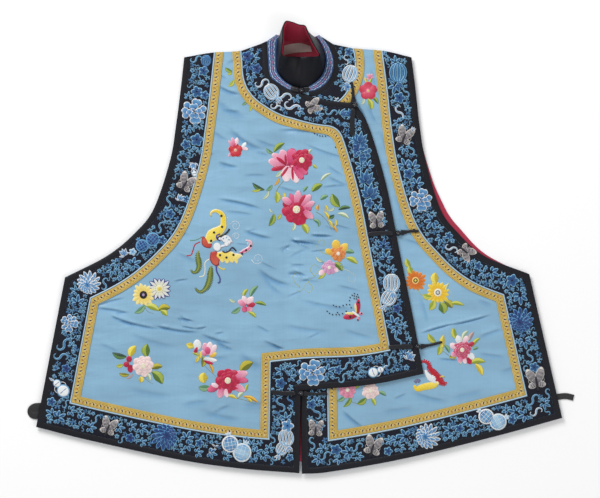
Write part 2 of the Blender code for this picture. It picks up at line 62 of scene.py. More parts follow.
# %% Walls and trims, in millimetres
GAP = 0.3                 # air between two pieces that touch
BACK_WALL, LINING_WALL, FRONT_WALL = 1.2, 1.0, 1.5
LINING_TOP = BACK_WALL + GAP + LINING_WALL
BINDING, PIPING, RIBBON = 8.0, 2.5, 12.0
EDGE_TOP = 4.7            # top of a front at its edge
PUFF, PUFF_REACH = 3.0, 45.0   # how far padding lifts its middle, and how soon
LAPEL_LIFT = 3.5          # how much higher the lapel lies
LIFT_FROM, LIFT_OVER = (-26, -300), (24, 80)   # x and y where that starts, and its ramps

# %% Edges of the cut
EDGES = {
    # name, width of binding, border and piping together, points
    "left": (
        ("shoulder", 0, ((-51, 309), (-63, 304), (-91, 294.5), (-133, 292), (-174, 285))),
        ("armhole", 45, ((-174, 285), (-179, 239), (-186, 185), (-195, 131), (-219, 59),
                         (-246, 23), (-289, -13), (-353, -46))),
        ("side", 44, ((-353, -46), (-396, -269))),
        ("hem", 48, ((-396, -269), (-316, -289), (-181, -318), (-91, -331), (-3, -338))),
        ("slit", 47, ((-3, -338), (-1, -214))),
        ("step", 46, ((-1, -214), (104, -205), (183, -189))),
        ("lapel", 43.5, ((183, -189), (165, -94), (147, -6), (131, 76), (116, 134), (98, 188),
                       (81, 215))),
        ("neck", 41, ((81, 215), (59, 217), (36, 220), (14, 226), (-1, 231), (-15, 235),
                      (-31, 244), (-46, 257), (-49, 281), (-51, 309))),
    ),
    "right": (
        ("inner", 0, ((0.5, -190), (0.5, 231))),
        ("neck_plain", 0, ((0.5, 231), (12, 233))),
        ("neck_end", 0, ((12, 233), (12, 150))),
        ("neck", 34, ((12, 233), (26, 237), (41, 249), (48.5, 266), (48.5, 284), (41, 303),
                      (32, 314))),
        ("shoulder", 0, ((32, 314), (41, 308), (62, 300.5), (89, 297.5), (128, 294), (165, 285))),
        ("armhole", 43, ((165, 285), (171, 239), (177, 185), (186, 131), (208, 58), (234, 22),
                         (275, -14), (342, -41))),
        ("side", 45, ((342, -41), (391, -255.5))),
        ("hem", 47, ((391, -255.5), (291, -283), (156, -316), (44, -336), (2.5, -339))),
        ("slit", 41, ((2.5, -339), (0.5, -190))),
        ("slit_end", 0, ((60, -190), (0.5, -190))),
    ),
}
TAPERS = {
    # front and edge: corner where the trims change width, reach, share gained there
    ("left", "neck"): ((81, 215), 85, -0.115),
    ("left", "step"): ((-1, -214), 100, 0.06),
}
BACK_OUTLINE = (
    ((-35, 317), (-63, 302), (-91, 293), (-133, 290), (-172.5, 283.5)),
    ((-172.5, 283.5), (-177, 239), (-184, 185), (-193, 131), (-217, 59), (-244, 23),
     (-288, -14), (-351, -47.5)),
    ((-351, -47.5), (-394, -267)),
    ((-394, -267), (-316, -284), (-181, -308), (-91, -318), (0, -321.5), (156, -306),
     (291, -279), (389, -253.5)),
    ((389, -253.5), (340.5, -42.5)),
    ((340.5, -42.5), (278, -11), (241.5, 25), (215.5, 60.5), (190.5, 131), (179, 185),
     (170, 239), (163.5, 283.5)),
    ((163.5, 283.5), (128, 292), (89, 295.5), (62, 298.5), (41, 306), (26, 317)),
    ((26, 317), (10, 314), (-5, 312), (-20, 314), (-35, 317)),
)

# %% Creases and finer folds that the silk keeps
CREASES = {
    # x1, y1, x2, y2, half width, height
    "left": (
        (-118, 206, -76, 190, 12, 0.9), (-116, 66, -80, 60, 10, 0.8),
        (-110, 24, -68, 12, 10, 0.9), (-242, -100, -140, -122, 12, 1.1),
        (-128, -130, -104, -146, 11, 0.8), (-146, -222, -68, -248, 18, -1),
        (-50, -140, -24, -154, 10, 0.7),
    ),
    "right": (
        (184, -127, 284, -101, 12, 1.2), (66, -247, 92, -270, 11, 1),
        (86, 216, 108, 186, 11, -0.8),
    ),
}

RIPPLES = {
    # x1, y1, x2, y2, half width, depth, bow
    "left": (
        (-123, 71, -60, 57, 4.5, -2, 2), (-112, 53, -73, 48, 4, -0.8, 1),
        (-85, 24, -45, 13, 4.5, -2, -1), (-64, -33, -18, -57, 6, -2, -4),
        (-19, -38, 6, -41, 4, -1.1, 1), (-16, 10, 15, 5, 3, -1.2, 0),
        (-54, -46, -28, -72, 6, -0.9, -2), (-30, -6, -16, 2, 3, -1, 0),
        (-97, 5, -79, 3, 3, -0.6, 0), (-123, 241, -93, 229, 4.5, -2, -2),
        (-127, 221, -82, 194, 8, -0.9, -3), (-105, 176, -58, 146, 6.5, -1.9, -4),
        (-123, 127, -96, 120, 5, -1.7, -1), (-31, 175, 32, 170, 4, -1.3, 2),
        (-66, 161, -36, 150, 5, -0.9, -1), (-111, 275, -91, 281, 5, -0.7, 1),
        (-126, 260, -112, 251, 4, -0.9, 1), (-118, 206, -91, 203, 4, -1, -1),
        (-130, 173, -112, 161, 5, -0.8, -1), (-142, 146, -130, 137, 4, -0.7, 0),
        (-307, -92, -259, -99, 4, -1.4, 1), (-282, -105, -214, -123, 4, -1.7, -2),
        (-220, -118, -153, -128, 4, -1.9, -2), (-183, -103, -160, -112, 3.5, -1.2, -1),
        (-148, -132, -105, -145, 4.5, -1.9, -1), (-190, -52, -169, -49, 3, -1, 1),
        (-312, -89, -265, -77, 3.5, -1, 1), (-162, -175, -105, -165, 6, -0.8, 2),
        (-132, -250, -105, -237, 5, -0.9, 1), (-127, -142, -103, -154, 4.5, -1.8, -1),
        (-90, -160, -58, -181, 10, -1.2, -2), (-177, -237, -139, -231, 7, -0.8, 1),
        (-87, -237, -43, -234, 8, -0.8, 0), (-148, -246, -91, -258, 8, -1, -2),
        (15, 18, 47, 16, 3, -1.6, 0), (-15, 9, 29, 3, 3, -1.4, 1), (8, 154, 65, 134, 4, -1, -2),
        (41, 122, 63, 107, 4, -0.9, -1), (42, 105, 68, 93, 4, -1, -1),
        (-33, -3, -16, 3, 3, -0.9, 0), (-33, 91, -7, 83, 4, -0.9, -1),
        (32, 89, 69, 92, 3.5, -0.9, 1), (26, -22, 68, -31, 3.5, -0.9, 0),
        (14, -7, 41, -4, 3, -0.8, 0), (44, 35, 74, 27, 3.5, -0.9, 0),
        (-1, -79, 77, -93, 5, -0.8, -2), (-55, -141, -25, -152, 4, -1.3, -1),
        (-24, -117, 44, -126, 6, -0.7, -2), (-82, 23, -67, 27, 3, -0.7, 0),
        (-256, -130, -187, -150, 6, -0.6, -2), (-301, -145, -274, -157, 5, -0.6, 0),
        (-202, 38, -166, 17, 6, -0.7, -2), (-184, -10, -157, -22, 5, -0.7, 0),
        (-259, -211, -193, -223, 8, -0.6, -2), (56, -58, 89, -66, 4, -0.8, 0),
        (66, -124, 107, -136, 5, -0.7, -1), (-67, 143, -49, 137, 4, -0.8, 0),
        (-84, 107, -52, 107, 4, -0.7, 1), (-1, -49, 26, -52, 3.5, -0.7, 0),
        (-17, 14, 14, -4, 3, -0.9, 0), (-9, 9, 28, 7, 3.5, -1.2, 1), (16, 18, 43, 18, 3, -0.9, 0),
        (-17, -16, 10, -2, 4, -0.5, 1), (-15, -27, 6, -27, 3.5, -0.9, 0),
        (-19, -40, -1, -41, 3.5, -1.2, 0), (-12, -35, 8, -44, 3.5, -0.9, 0),
        (-66, -118, -47, -128, 3.5, -0.9, 0), (-44, -144, -27, -153, 3.5, -1.6, -1),
        (10, -137, 29, -128, 3, -0.7, 0), (-283, -104, -273, -109, 3, -0.9, 0),
        (-273, -110, -247, -117, 3, -1.2, 0), (-277, -99, -261, -98, 3, -0.6, 0),
        (-187, -107, -165, -110, 3, -1.2, 0), (-212, -120, -195, -122, 3, -0.8, 0),
        (-178, -119, -157, -123, 3, -1.3, 0), (-158, -123, -141, -120, 3, -1.5, 0),
        (-129, -130, -115, -128, 3, -0.9, 0), (-61, -22, -37, -34, 3, -0.7, 0),
        (-1, -52, 23, -45, 3, -0.7, 0), (-19, -74, 3, -65, 3, -0.6, 0),
        (36, 32, 56, 24, 3, -0.8, 0),
    ),
    "right": (
        (182, -129, 227, -116, 3.2, -1.9, 1), (224, -117, 284, -102, 3.2, -1.9, -1),
        (207, -168, 240, -170, 3.5, -1.1, 0), (267, -136, 303, -123, 5, -1, 1),
        (168, -218, 219, -231, 6, -1, -2), (140, -228, 158, -220, 4, -0.9, 0),
        (266, -160, 306, -165, 5, -0.9, 0), (63, -246, 93, -271, 4.5, -1.7, -1),
        (180, -76, 191, -115, 5, -0.8, 1), (83, 216, 98, 189, 4, -1.2, 1),
        (102, 212, 114, 185, 4, -1, -1), (119, 173, 135, 134, 5, -0.8, 1),
        (143, 77, 155, 38, 5, -0.8, 1), (156, 32, 179, 24, 4, -1.1, 0),
        (155, 12, 185, 2, 4, -0.8, 0), (107, 266, 113, 239, 4, -0.7, 0),
        (299, -187, 329, -178, 5, -0.7, 0), (227, -226, 272, -216, 7, -0.6, 1),
        (266, -79, 287, -88, 5, -0.7, 0), (122, -247, 167, -241, 6, -0.6, 0),
    ),
}

# %% [markdown]
# ## Lines in the plane
# Smooth edges come from a Catmull-Rom curve through the table's points. A `Run` turns one
# edge into a pair of rulers: `u` goes along it and `d` goes inward from it, both in
# millimetres, so that a ribbon's woven figures keep their pitch round the curves. A grid
# fitted by eye would stretch them, and the mitres would not meet.

# %% Curves, distances and crossings
FINE = 5.0                # distance between points along a curved edge
BEYOND = 100.0            # an edge is lengthened this far to find its corners
RULER = 40.0              # depth at which distances along an edge are measured
TINY = 1e-9


def smooth(points, step=FINE):
    """Curve through the points, with one about every step."""
    points = [np.array(p, float) for p in points]
    ends = [2 * points[0] - points[1]] + points + [2 * points[-1] - points[-2]]
    curve = [points[0]]
    for before, a, b, after in zip(ends, ends[1:], ends[2:], ends[3:]):
        count = max(1, round(np.linalg.norm(b - a) / step))
        for i in range(1, count + 1):
            t = i / count
            curve.append(0.5 * (2 * a + (b - before) * t
                                + (2 * before - 5 * a + 4 * b - after) * t * t
                                + (3 * a - before - 3 * b + after) * t ** 3))
    return np.array(curve)


def sideways(line):
    """Unit normal to the left of a line, at each of its points."""
    along = unit(np.gradient(line, axis=0))
    return np.stack([-along[:, 1], along[:, 0]], axis=1)


def unit(v):
    """Vectors of length 1, along the last axis."""
    return v / np.linalg.norm(v, axis=-1)[..., None]


def heading(degrees):
    """Unit vector in a direction."""
    return np.array([math.cos(math.radians(degrees)), math.sin(math.radians(degrees))])


def ease(t):
    """Smooth step from 0 to 1."""
    t = np.clip(t, 0, 1)
    return t * t * (3 - 2 * t)


def from_line(points, line, closed=True):
    """Distance from each point to the nearest segment of a line."""
    starts, ends = line, np.roll(line, -1, axis=0)
    if not closed:
        starts, ends = starts[:-1], ends[:-1]
    nearest = np.full(len(points), np.inf)
    for a, step in zip(starts, ends - starts):
        away = points - a
        t = np.clip(away @ step / max(step @ step, TINY), 0, 1)
        nearest = np.minimum(nearest, np.linalg.norm(away - t[:, None] * step, axis=1))
    return nearest


def inside(points, outline):
    """Even-odd test of points against a closed outline."""
    x, y = points[:, 0], points[:, 1]
    crossed = np.zeros(len(points), bool)
    for a, b in zip(outline, np.roll(outline, -1, axis=0)):
        if a[1] != b[1]:
            straddles = (a[1] > y) != (b[1] > y)
            crossed ^= straddles & (x < a[0] + (y - a[1]) * (b[0] - a[0]) / (b[1] - a[1]))
    return crossed


def crossing(first, second, near):
    """Where two lines cross nearest to a point, as a place along each of them."""
    a, r = first[:-1], np.diff(first, axis=0)
    c, s = second[:-1], np.diff(second, axis=0)
    turn = r[:, None, 0] * s[None, :, 1] - r[:, None, 1] * s[None, :, 0]
    turn[np.abs(turn) < TINY] = np.nan
    apart = c[None] - a[:, None]
    t = (apart[..., 0] * s[None, :, 1] - apart[..., 1] * s[None, :, 0]) / turn
    v = (apart[..., 0] * r[:, None, 1] - apart[..., 1] * r[:, None, 0]) / turn
    i, j = np.nonzero((np.abs(t - 0.5) <= 0.5 + TINY) & (np.abs(v - 0.5) <= 0.5 + TINY))
    where = a[i] + t[i, j][:, None] * r[i]
    best = np.argmin(np.linalg.norm(where - near, axis=1))
    return i[best] + t[i, j][best], j[best] + v[i, j][best]


# %% A ruler for each edge, and the fronts that they make
class Run:
    """One edge of a front: u runs along it and d goes inward, in millimetres."""

    def __init__(self, name, margin, points, inward, taper=None):
        self.name = name
        line = smooth(points)
        self.line = np.vstack([line[0] + BEYOND * unit(line[0] - line[1]), line,
                               line[-1] + BEYOND * unit(line[-1] - line[-2])])
        self.inward = inward * sideways(self.line)
        if taper:
            corner, reach, gain = taper
            near = 1 - np.linalg.norm(self.line - corner, axis=1) / reach
            self.inward *= 1 + gain * ease(near)[:, None]
        ruler = self.line + RULER * self.inward
        lengths = np.linalg.norm(np.diff(ruler, axis=0), axis=1)
        self.u = np.concatenate([[0], np.cumsum(lengths)]) - BEYOND
        on = 1 if margin else 0
        self.depths = on * np.array([0, BINDING, (BINDING + margin - PIPING) / 2,
                                     margin - PIPING, margin, margin + RIBBON])

    def at(self, u, d):
        """Points of the plane at distances u along the edge and d inside it."""
        place = np.interp(u, self.u, np.arange(len(self.u)))
        k = np.minimum(place.astype(int), len(self.u) - 2)
        t = (place - k)[:, None]
        line = self.line[k] * (1 - t) + self.line[k + 1] * t
        inward = self.inward[k] * (1 - t) + self.inward[k + 1] * t
        return line + np.asarray(d)[:, None] * inward


class Front:
    """One front: its runs in order and the corners between them."""

    def __init__(self, side, edges):
        self.side = side
        inward = 1 if side == "left" else -1
        self.runs = [Run(*edge, inward, TAPERS.get((side, edge[0]))) for edge in edges]
        self.corners = {}

    def corner(self, i, before, after):
        """u on run i-1 and on run i where they meet at those depths."""
        key = (i, round(before, 3), round(after, 3))
        if key not in self.corners:
            last, run = self.runs[i - 1], self.runs[i]
            p, q = crossing(last.line + before * last.inward, run.line + after * run.inward,
                            run.line[1])
            self.corners[key] = (np.interp(p, np.arange(len(last.u)), last.u),
                                 np.interp(q, np.arange(len(run.u)), run.u))
        return self.corners[key]

    def depth(self, i, layer, shift=0.0):
        """Depth of a trim line on run i: 0 edge, 1 binding, 3 border, 4 piping, 5 ribbon."""
        run = self.runs[i % len(self.runs)]
        if not run.depths.any():
            return 0.0
        return float(np.interp(layer, range(6), run.depths)) + shift

    def row_ends(self, i, layer, shift=0.0):
        """Depth on run i, and u at its start and end, along one line of the trims."""
        d = self.depth(i, layer, shift)
        start = self.corner(i, self.depth(i - 1, layer, shift), d)[1]
        after = (i + 1) % len(self.runs)
        end = self.corner(after, d, self.depth(after, layer, shift))[0]
        return d, start, end

    def outline(self, layer):
        """Closed line at one layer of the trims, all round the front."""
        points = []
        for i, run in enumerate(self.runs):
            d, start, end = self.row_ends(i, layer)
            u = np.concatenate([[start], run.u[(run.u > start + 1) & (run.u < end - 1)]])
            points.append(run.at(u, np.full(len(u), d)))
        return np.vstack(points)

    def index(self, name):
        return [run.name for run in self.runs].index(name)


FRONTS = {side: Front(side, edges) for side, edges in EDGES.items()}
SILHOUETTE = np.vstack([smooth(points, 20.0)[:-1] for points in BACK_OUTLINE])
for front in FRONTS.values():
    print(front.side, "front: points round the cut", len(front.outline(0)))

# %% [markdown]
# ## How high the cloth lies
# Padded lining lifts the middle of each front, the lapel rides over the right front, and
# creases from folding cross the silk as soft troughs and ridges. One function gives that
# height, and every trim and stitch asks it, so nothing floats and nothing sinks. A cloth
# simulation would move the cut away from its measured lines, so the folds are listed.

# %% Height of a front's outer face, in millimetres
FOLD_SHARP = 0.62         # share of a fold's listed width that its crease takes
FADE, OVERSHOOT = 0.4, 0.1   # of a fold's length: where it fades, and how far past its ends
STEEP, SOFT = 1.9, 0.8    # narrowness of a trough's upper and lower side
RIDGE, RIDGE_PLACE, RIDGE_NARROW = 0.55, 1.3, 1.2   # share of the depth, place, narrowness
# Painted shade beside a fold's trough: how narrow it is on either side, and the least strength
# that it starts from.
PAINTED_SHADE_STEEP, PAINTED_SHADE_SOFT, PAINTED_SHADE_LEAST = 2.2, 0.75, 0.15   # of the shade beside a trough


def crease(points, x1, y1, x2, y2, half_width, height):
    """Soft fold along a line, fading at both ends."""
    away = from_line(points, np.array(((x1, y1), (x2, y2))), closed=False)
    return height * np.exp(-(away / half_width) ** 2)


def beside_fold(points, x1, y1, x2, y2, half_width, bow):
    """Place across a bowed line in half widths, and how far the fold has faded there."""
    along = np.array((x2 - x1, y2 - y1))
    length = np.linalg.norm(along)
    along = along / length
    apart = points - (x1, y1)
    t = apart @ along / length
    away = apart @ np.array((-along[1], along[0])) - bow * 4 * t * (1 - t)
    fade = ease((t + OVERSHOOT) / FADE) * ease((1 + OVERSHOOT - t) / FADE)
    return away / (half_width * FOLD_SHARP), fade


def ripple(points, x1, y1, x2, y2, half_width, depth, bow):
    """Fine fold along a bowed line: a trough, steep on its upper side, below a low ridge."""
    near, fade = beside_fold(points, x1, y1, x2, y2, half_width, bow)
    trough = np.exp(-(near * np.where(near > 0, STEEP, SOFT)) ** 2)
    ridge = np.exp(-((near - RIDGE_PLACE) * RIDGE_NARROW) ** 2)
    return depth * fade * (trough - RIDGE * ridge)


def painted_fold_shade(side, points):
    """Depth of the shade painted into the colour of a front's folds, from 0 to 1."""
    tone = np.zeros(len(points))
    for x1, y1, x2, y2, half_width, depth, bow in RIPPLES[side]:
        near, fade = beside_fold(points, x1, y1, x2, y2, half_width, bow)
        near *= np.where(near * (x2 - x1) > 0, PAINTED_SHADE_STEEP, PAINTED_SHADE_SOFT)
        tone += min(1.0, PAINTED_SHADE_LEAST - depth / 2) * fade * np.exp(-near ** 2)
    return np.clip(tone, 0, 1)


def front_height(side, points):
    """Height of a front's outer face at points of the plane."""
    points = np.asarray(points, float)
    height = EDGE_TOP + PUFF * (1 - np.exp(-from_line(points, SILHOUETTE) / PUFF_REACH))
    if side == "left":
        height += (LAPEL_LIFT * ease((points[:, 0] - LIFT_FROM[0]) / LIFT_OVER[0])
                   * ease((points[:, 1] - LIFT_FROM[1]) / LIFT_OVER[1]))
    for fold in CREASES[side]:
        height += crease(points, *fold)
    for fold in RIPPLES[side]:
        height += ripple(points, *fold)
    return height


for side, front in FRONTS.items():
    top = front_height(side, front.outline(5))
    print(side, "front lies between", round(top.min(), 2), "and", round(top.max(), 2), "mm")

# %% [markdown]
# ## Pieces from cross-sections
# A trim is swept: one closed cross-section, drawn once as depths and heights, is carried
# along its edges and turned square at every mitre. Extruding a flat band and bevelling it
# would lose the round of the piping and the roll of the binding. The helper also writes a UV
# map in millimetres, so that woven figures follow the trim.

# %% Helpers that make one named piece
HOLD = {}                 # every finished piece by name


def only(*pieces):
    """Select these pieces alone, with the last one active."""
    bpy.ops.object.select_all(action="DESELECT")
    for piece in pieces:
        piece.select_set(True)
    bpy.context.view_layer.objects.active = pieces[-1]


def edit(piece, *steps):
    """Run mesh operators on all of a piece."""
    only(piece)
    bpy.ops.object.mode_set(mode="EDIT")
    bpy.ops.mesh.select_all(action="SELECT")
    for step in steps:
        step()
    bpy.ops.object.mode_set(mode="OBJECT")


def finish_piece(name, points, faces, uvs, material, slot, *nodes):
    """One piece of the garment, from points in millimetres, in place of the CAD nodes named.

    There is a UV pair for each corner of each face, or none.
    """
    mesh = bpy.data.meshes.new(name)
    mesh.from_pydata((np.asarray(points) * MM).tolist(), [], faces)
    if uvs is not None:
        layer = mesh.uv_layers.new(name="UVMap")
        layer.data.foreach_set("uv", np.asarray(uvs, np.float32).ravel())
    mesh.shade_smooth()
    mesh.validate()
    mesh.update()
    mesh.materials.append(material)
    piece = bpy.data.objects.new(name, mesh)
    bpy.context.scene.collection.objects.link(piece)
    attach(piece, "root")
    if nodes:
        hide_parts(*nodes)
    HOLD[name] = piece
    return piece


def loft_faces(rows, count, ring=False):
    """Faces of a tube of rows of points, closed by two caps or into a ring."""
    quads = [(r * count + c, r * count + (c + 1) % count,
              (r + 1) % rows * count + (c + 1) % count, (r + 1) % rows * count + c)
             for r in range(rows if ring else rows - 1) for c in range(count)]
    caps = [tuple(range(count))[::-1], tuple(range((rows - 1) * count, rows * count))]
    return quads if ring else quads + caps


def loft(name, grid, uvs, sharp, material, slot, *nodes, ring=False):
    """A lofted piece with its faces outwards and its edges sharp beyond an angle."""
    grid = np.asarray(grid)
    if uvs is not None:
        uvs = uvs + [(0, 0)] * (2 * grid.shape[1])
    piece = finish_piece(name, grid.reshape(-1, 3), loft_faces(*grid.shape[:2], ring), uvs,
                         material, slot, *nodes)
    edit(piece, lambda: bpy.ops.mesh.normals_make_consistent(inside=False))
    piece.data.set_sharp_from_angle(angle=math.radians(sharp))
    return piece


# %% A trim swept along the edges of a front
SOFT_CORNER = ("left", "lapel", "neck", 16.0)   # front, runs that meet, reach of the curve
TRIM_STEP, TRIM_SHARP = 4.5, 40


def on_strip(front, i, u):
    """True where a neck edge has the strip under the braid beyond it, and no free edge."""
    run = front.runs[i]
    return run.name == "neck" and (front.side == "right"
                                   or run.at(np.array([u]), np.array([0]))[0, 0] < 0)


def section_ends(front, i, section):
    """Depth, start and end on run i of each point of a section."""
    return np.array([front.row_ends(i, layer, shift) for layer, shift, _ in section]).T


def softened(front, i, u, section, flat):
    """Round the corner that two runs share, for the trims on its inner side."""
    side, first, second, reach = SOFT_CORNER
    name = front.runs[i].name
    if front.side != side or name not in (first, second):
        return flat
    a, b = front.index(first), front.index(second)
    depth, _, end = section_ends(front, a, section)
    depth_after, start, _ = section_ends(front, b, section)
    left = end - u if name == first else u - start
    share = np.clip(1 - left / reach, 0, 1) / 2
    t = (share if name == first else 1 - share)[:, None]
    before, corner = front.runs[a].at(end - reach, depth), front.runs[a].at(end, depth)
    after = front.runs[b].at(start + reach, depth_after)
    bent = (1 - t) ** 2 * before + 2 * t * (1 - t) * corner + t ** 2 * after
    weight = np.array([np.clip(layer - 2, 0, 1) for layer, _, _ in section])[:, None]
    weight = weight * (share > 0)[:, None]
    return flat * (1 - weight) + bent * weight


def trim_piece(name, front, names, section, material, slot, node, trim=0.0):
    """Carry a closed section along the named runs of a front.

    The section is a list of (layer, shift, height above the cloth).  Trim draws the two ends
    in, so that a neighbour across the mitre keeps its gap.
    """
    indices = [front.index(n) for n in names]
    flat, lifts, uvs, gone = [], [], [], 0.0
    width = np.cumsum([0] + [abs(front.depth(indices[0], b[0], b[1])
                                 - front.depth(indices[0], a[0], a[1])) + abs(b[2] - a[2])
                             for a, b in zip(section, section[1:] + section[:1])])
    lift = np.array([height for _, _, height in section])
    count, end = len(section), len(indices) - 1
    for order, i in enumerate(indices):
        depths, starts, stops = section_ends(front, i, section)
        starts = starts + trim * (order == 0)
        stops = stops - trim * (order == end)
        rows = max(2, round((stops - starts).max() / TRIM_STEP))
        along = [starts + (stops - starts) * k / rows for k in range(rows + 1)]
        for u in along[min(order, 1):]:
            d, h = ((np.maximum(depths, EDGE_GAP), np.maximum(lift, GAP))
                    if on_strip(front, i, u[0]) else (depths, lift))
            flat.append(softened(front, i, u, section, front.runs[i].at(u, d)))
            lifts.append(h)
        for u, ahead in zip(along, along[1:]):
            for c in range(count):
                n = (c + 1) % count
                uvs += [(u[c] + gone, width[c]), (u[n] + gone, width[c + 1]),
                        (ahead[n] + gone, width[c + 1]), (ahead[c] + gone, width[c])]
        gone += stops.mean() - (front.row_ends(indices[order + 1], 4)[1] if order < end else 0)
    flat = np.array(flat)
    height = front_height(front.side, flat.reshape(-1, 2)).reshape(-1, count) + lifts
    return loft(name, np.dstack([flat, height]), uvs, TRIM_SHARP, material, slot, node)


# %% [markdown]
# ## Finishes
# Every cloth here is a weave of silk threads, but they catch light differently: satin floats
# its threads and shines, the border silk is dull and dark, the ribbon carries woven figures.
# The shared effects - thread lines, uneven dye and woven figures - are node groups with named
# inputs, built once. A painted texture could not be resized or re-lit as easily.

# %% Node helpers
def feed(tree, socket, value):
    """Link a socket to an output, or set it; a colour may leave out its alpha."""
    if isinstance(value, bpy.types.NodeSocket):
        tree.links.new(value, socket)
    else:
        socket.default_value = (*value, 1.0) if socket.type == "RGBA" else value


def node(tree, kind, *values, **named):
    """A shader node: its inputs in order or by Name, its settings in lower case."""
    made = tree.nodes.new("ShaderNode" + kind)
    for name in [n for n in named if n.islower()]:
        setattr(made, name, named.pop(name))
    for socket, value in zip(made.inputs, values):
        feed(tree, socket, value)
    for name, value in named.items():
        feed(tree, made.inputs[name.replace("_", " ")], value)
    return made


def maths(tree, operation, *values):
    """Output of a Math node."""
    return node(tree, "Math", *values, operation=operation).outputs[0]


def mix(tree, factor, a, b, blend="MIX"):
    """Two colours mixed."""
    made = node(tree, "Mix", factor, data_type="RGBA", blend_type=blend)
    feed(tree, made.inputs[6], a)
    feed(tree, made.inputs[7], b)
    return made.outputs[2]


def new_group(name, inputs, outputs):
    """Shader node group: inputs by name, a number or a vector, and outputs that are values."""
    group = bpy.data.node_groups.new(name, "ShaderNodeTree")
    for label, default in inputs.items():
        number = isinstance(default, float)
        socket = group.interface.new_socket(label, in_out="INPUT", socket_type=(
            "NodeSocketFloat" if number else "NodeSocketVector"))
        socket.default_value = default
    for label in outputs:
        group.interface.new_socket(label, in_out="OUTPUT", socket_type="NodeSocketFloat")
    given = group.nodes.new("NodeGroupInput")
    return group, given.outputs, group.nodes.new("NodeGroupOutput").inputs


# %% Group: thread lines of a weave
ORIGIN = (0.0, 0.0, 0.0)


def weave_group():
    """Warp and weft as crossing ridges; Shade is painted shade that darkens the colour between
    them, Height raises them.
    """
    group, given, out = new_group("weave", {"Vector": ORIGIN, "Warp": 2500.0, "Weft": 2500.0,
                                            "Depth": 0.15}, ("Shade", "Height"))
    split = node(group, "SeparateXYZ", given["Vector"]).outputs
    warp, weft = (maths(group, "SINE", maths(group, "MULTIPLY", split[k], given[name]))
                  for k, name in enumerate(("Warp", "Weft")))
    height = maths(group, "MULTIPLY_ADD", maths(group, "ADD", warp, weft), 0.25, 0.5)
    hollow = maths(group, "MULTIPLY", maths(group, "SUBTRACT", 1.0, height), given["Depth"])
    group.links.new(maths(group, "SUBTRACT", 1.0, hollow), out["Shade"])
    group.links.new(height, out["Height"])
    return group


# %% Group: uneven dye and light soiling
def dye_group():
    """Broad clouds and fine streaks along the warp, as a value round 1."""
    group, given, out = new_group(
        "uneven dye", {"Vector": ORIGIN, "Clouds": 12.0, "Streaks": (600.0, 12.0, 12.0),
                       "Amount": 0.1}, ("Shade", "Mask"))
    clouds = node(group, "TexNoise", Vector=given["Vector"], Scale=given["Clouds"],
                  Detail=3.0).outputs[0]
    stretched = node(group, "VectorMath", given["Vector"], given["Streaks"],
                     operation="MULTIPLY").outputs[0]
    streaks = node(group, "TexNoise", Vector=stretched, Scale=1.0, Detail=2.0).outputs[0]
    both = maths(group, "ADD", maths(group, "SUBTRACT", clouds, 0.5), maths(
        group, "MULTIPLY", maths(group, "SUBTRACT", streaks, 0.5), 0.8))
    group.links.new(maths(group, "MULTIPLY_ADD", both, given["Amount"], 1.0), out["Shade"])
    group.links.new(clouds, out["Mask"])
    return group


# %% Group: a small woven figure that repeats along a ribbon
def figure_group():
    """Oval of given size at a repeat along U and a place across V; Mask is 1 inside."""
    group, given, out = new_group(
        "woven figure", {"UV": ORIGIN, "Repeat": 11.0, "Shift": 0.0, "Across": 6.0,
                         "Long": 1.0, "Wide": 1.0, "Slant": 0.0}, ("Mask",))
    split = node(group, "SeparateXYZ", given["UV"]).outputs
    v = maths(group, "SUBTRACT", split[1], given["Across"])
    u = maths(group, "ADD", split[0], given["Shift"])
    u = maths(group, "MULTIPLY_ADD", v, given["Slant"], u)
    u = maths(group, "SUBTRACT", maths(group, "FLOORED_MODULO", u, given["Repeat"]),
              maths(group, "MULTIPLY", given["Repeat"], 0.5))
    u = maths(group, "DIVIDE", u, given["Long"])
    v = maths(group, "DIVIDE", v, given["Wide"])
    far = maths(group, "SQRT", maths(group, "ADD", maths(group, "MULTIPLY", u, u),
                                     maths(group, "MULTIPLY", v, v)))
    mask = node(group, "MapRange", Value=far, From_Min=0.75, From_Max=1.25, To_Min=1.0,
                To_Max=0.0)
    group.links.new(mask.outputs[0], out["Mask"])
    return group


WEAVE, DYE, FIGURE = weave_group(), dye_group(), figure_group()


# %% A finish: one material with its shader, coordinates and bump
FINE_BUMP = 0.0002        # height of the threads, in metres


def use(tree, group, **inputs):
    """A group placed in a material."""
    return node(tree, "Group", node_tree=group, **inputs).outputs


def new_finish(name, roughness, sheen=0.0, specular=0.5, coordinates="UV"):
    """Material with its tree, its Principled shader's inputs and its coordinates."""
    material = bpy.data.materials.new(name)
    material.use_nodes = True
    tree = material.node_tree
    shader = tree.nodes["Principled BSDF"].inputs
    shader["Roughness"].default_value = roughness
    shader["Sheen Weight"].default_value = sheen
    shader["Sheen Tint"].default_value = (1.0, 1.0, 1.0, 1.0)
    shader["Specular IOR Level"].default_value = specular
    return material, tree, shader, node(tree, "TexCoord").outputs[coordinates]


def dress(tree, shader, colour, bump, weave, *dyes):
    """A colour darkened by painted shade between its threads and by its dyes, and the threads as a
    bump.
    """
    for effect in (weave, *dyes):
        grey = node(tree, "CombineColor", *[effect["Shade"]] * 3)
        colour = mix(tree, 1.0, colour, grey.outputs[0], "MULTIPLY")
    feed(tree, shader["Base Color"], colour)
    raised = node(tree, "Bump", Strength=bump, Distance=FINE_BUMP, Height=weave["Height"])
    feed(tree, shader["Normal"], raised.outputs[0])
    return raised.outputs[0]


# %% Cloth finishes
def plain_cloth(name, colour, roughness, pitch, dye=0.12, sheen=0.0, specular=0.5):
    """Woven silk of one colour: thread lines, uneven dye and a fine bump."""
    material, tree, shader, where = new_finish(name, roughness, sheen, specular, "Object")
    weave = use(tree, WEAVE, Vector=where, Warp=math.tau / pitch, Weft=math.tau / pitch)
    uneven = use(tree, DYE, Vector=where, Amount=dye, Clouds=14.0, Streaks=(500.0, 25.0, 25.0))
    dress(tree, shader, colour, 0.25, weave, uneven)
    return material


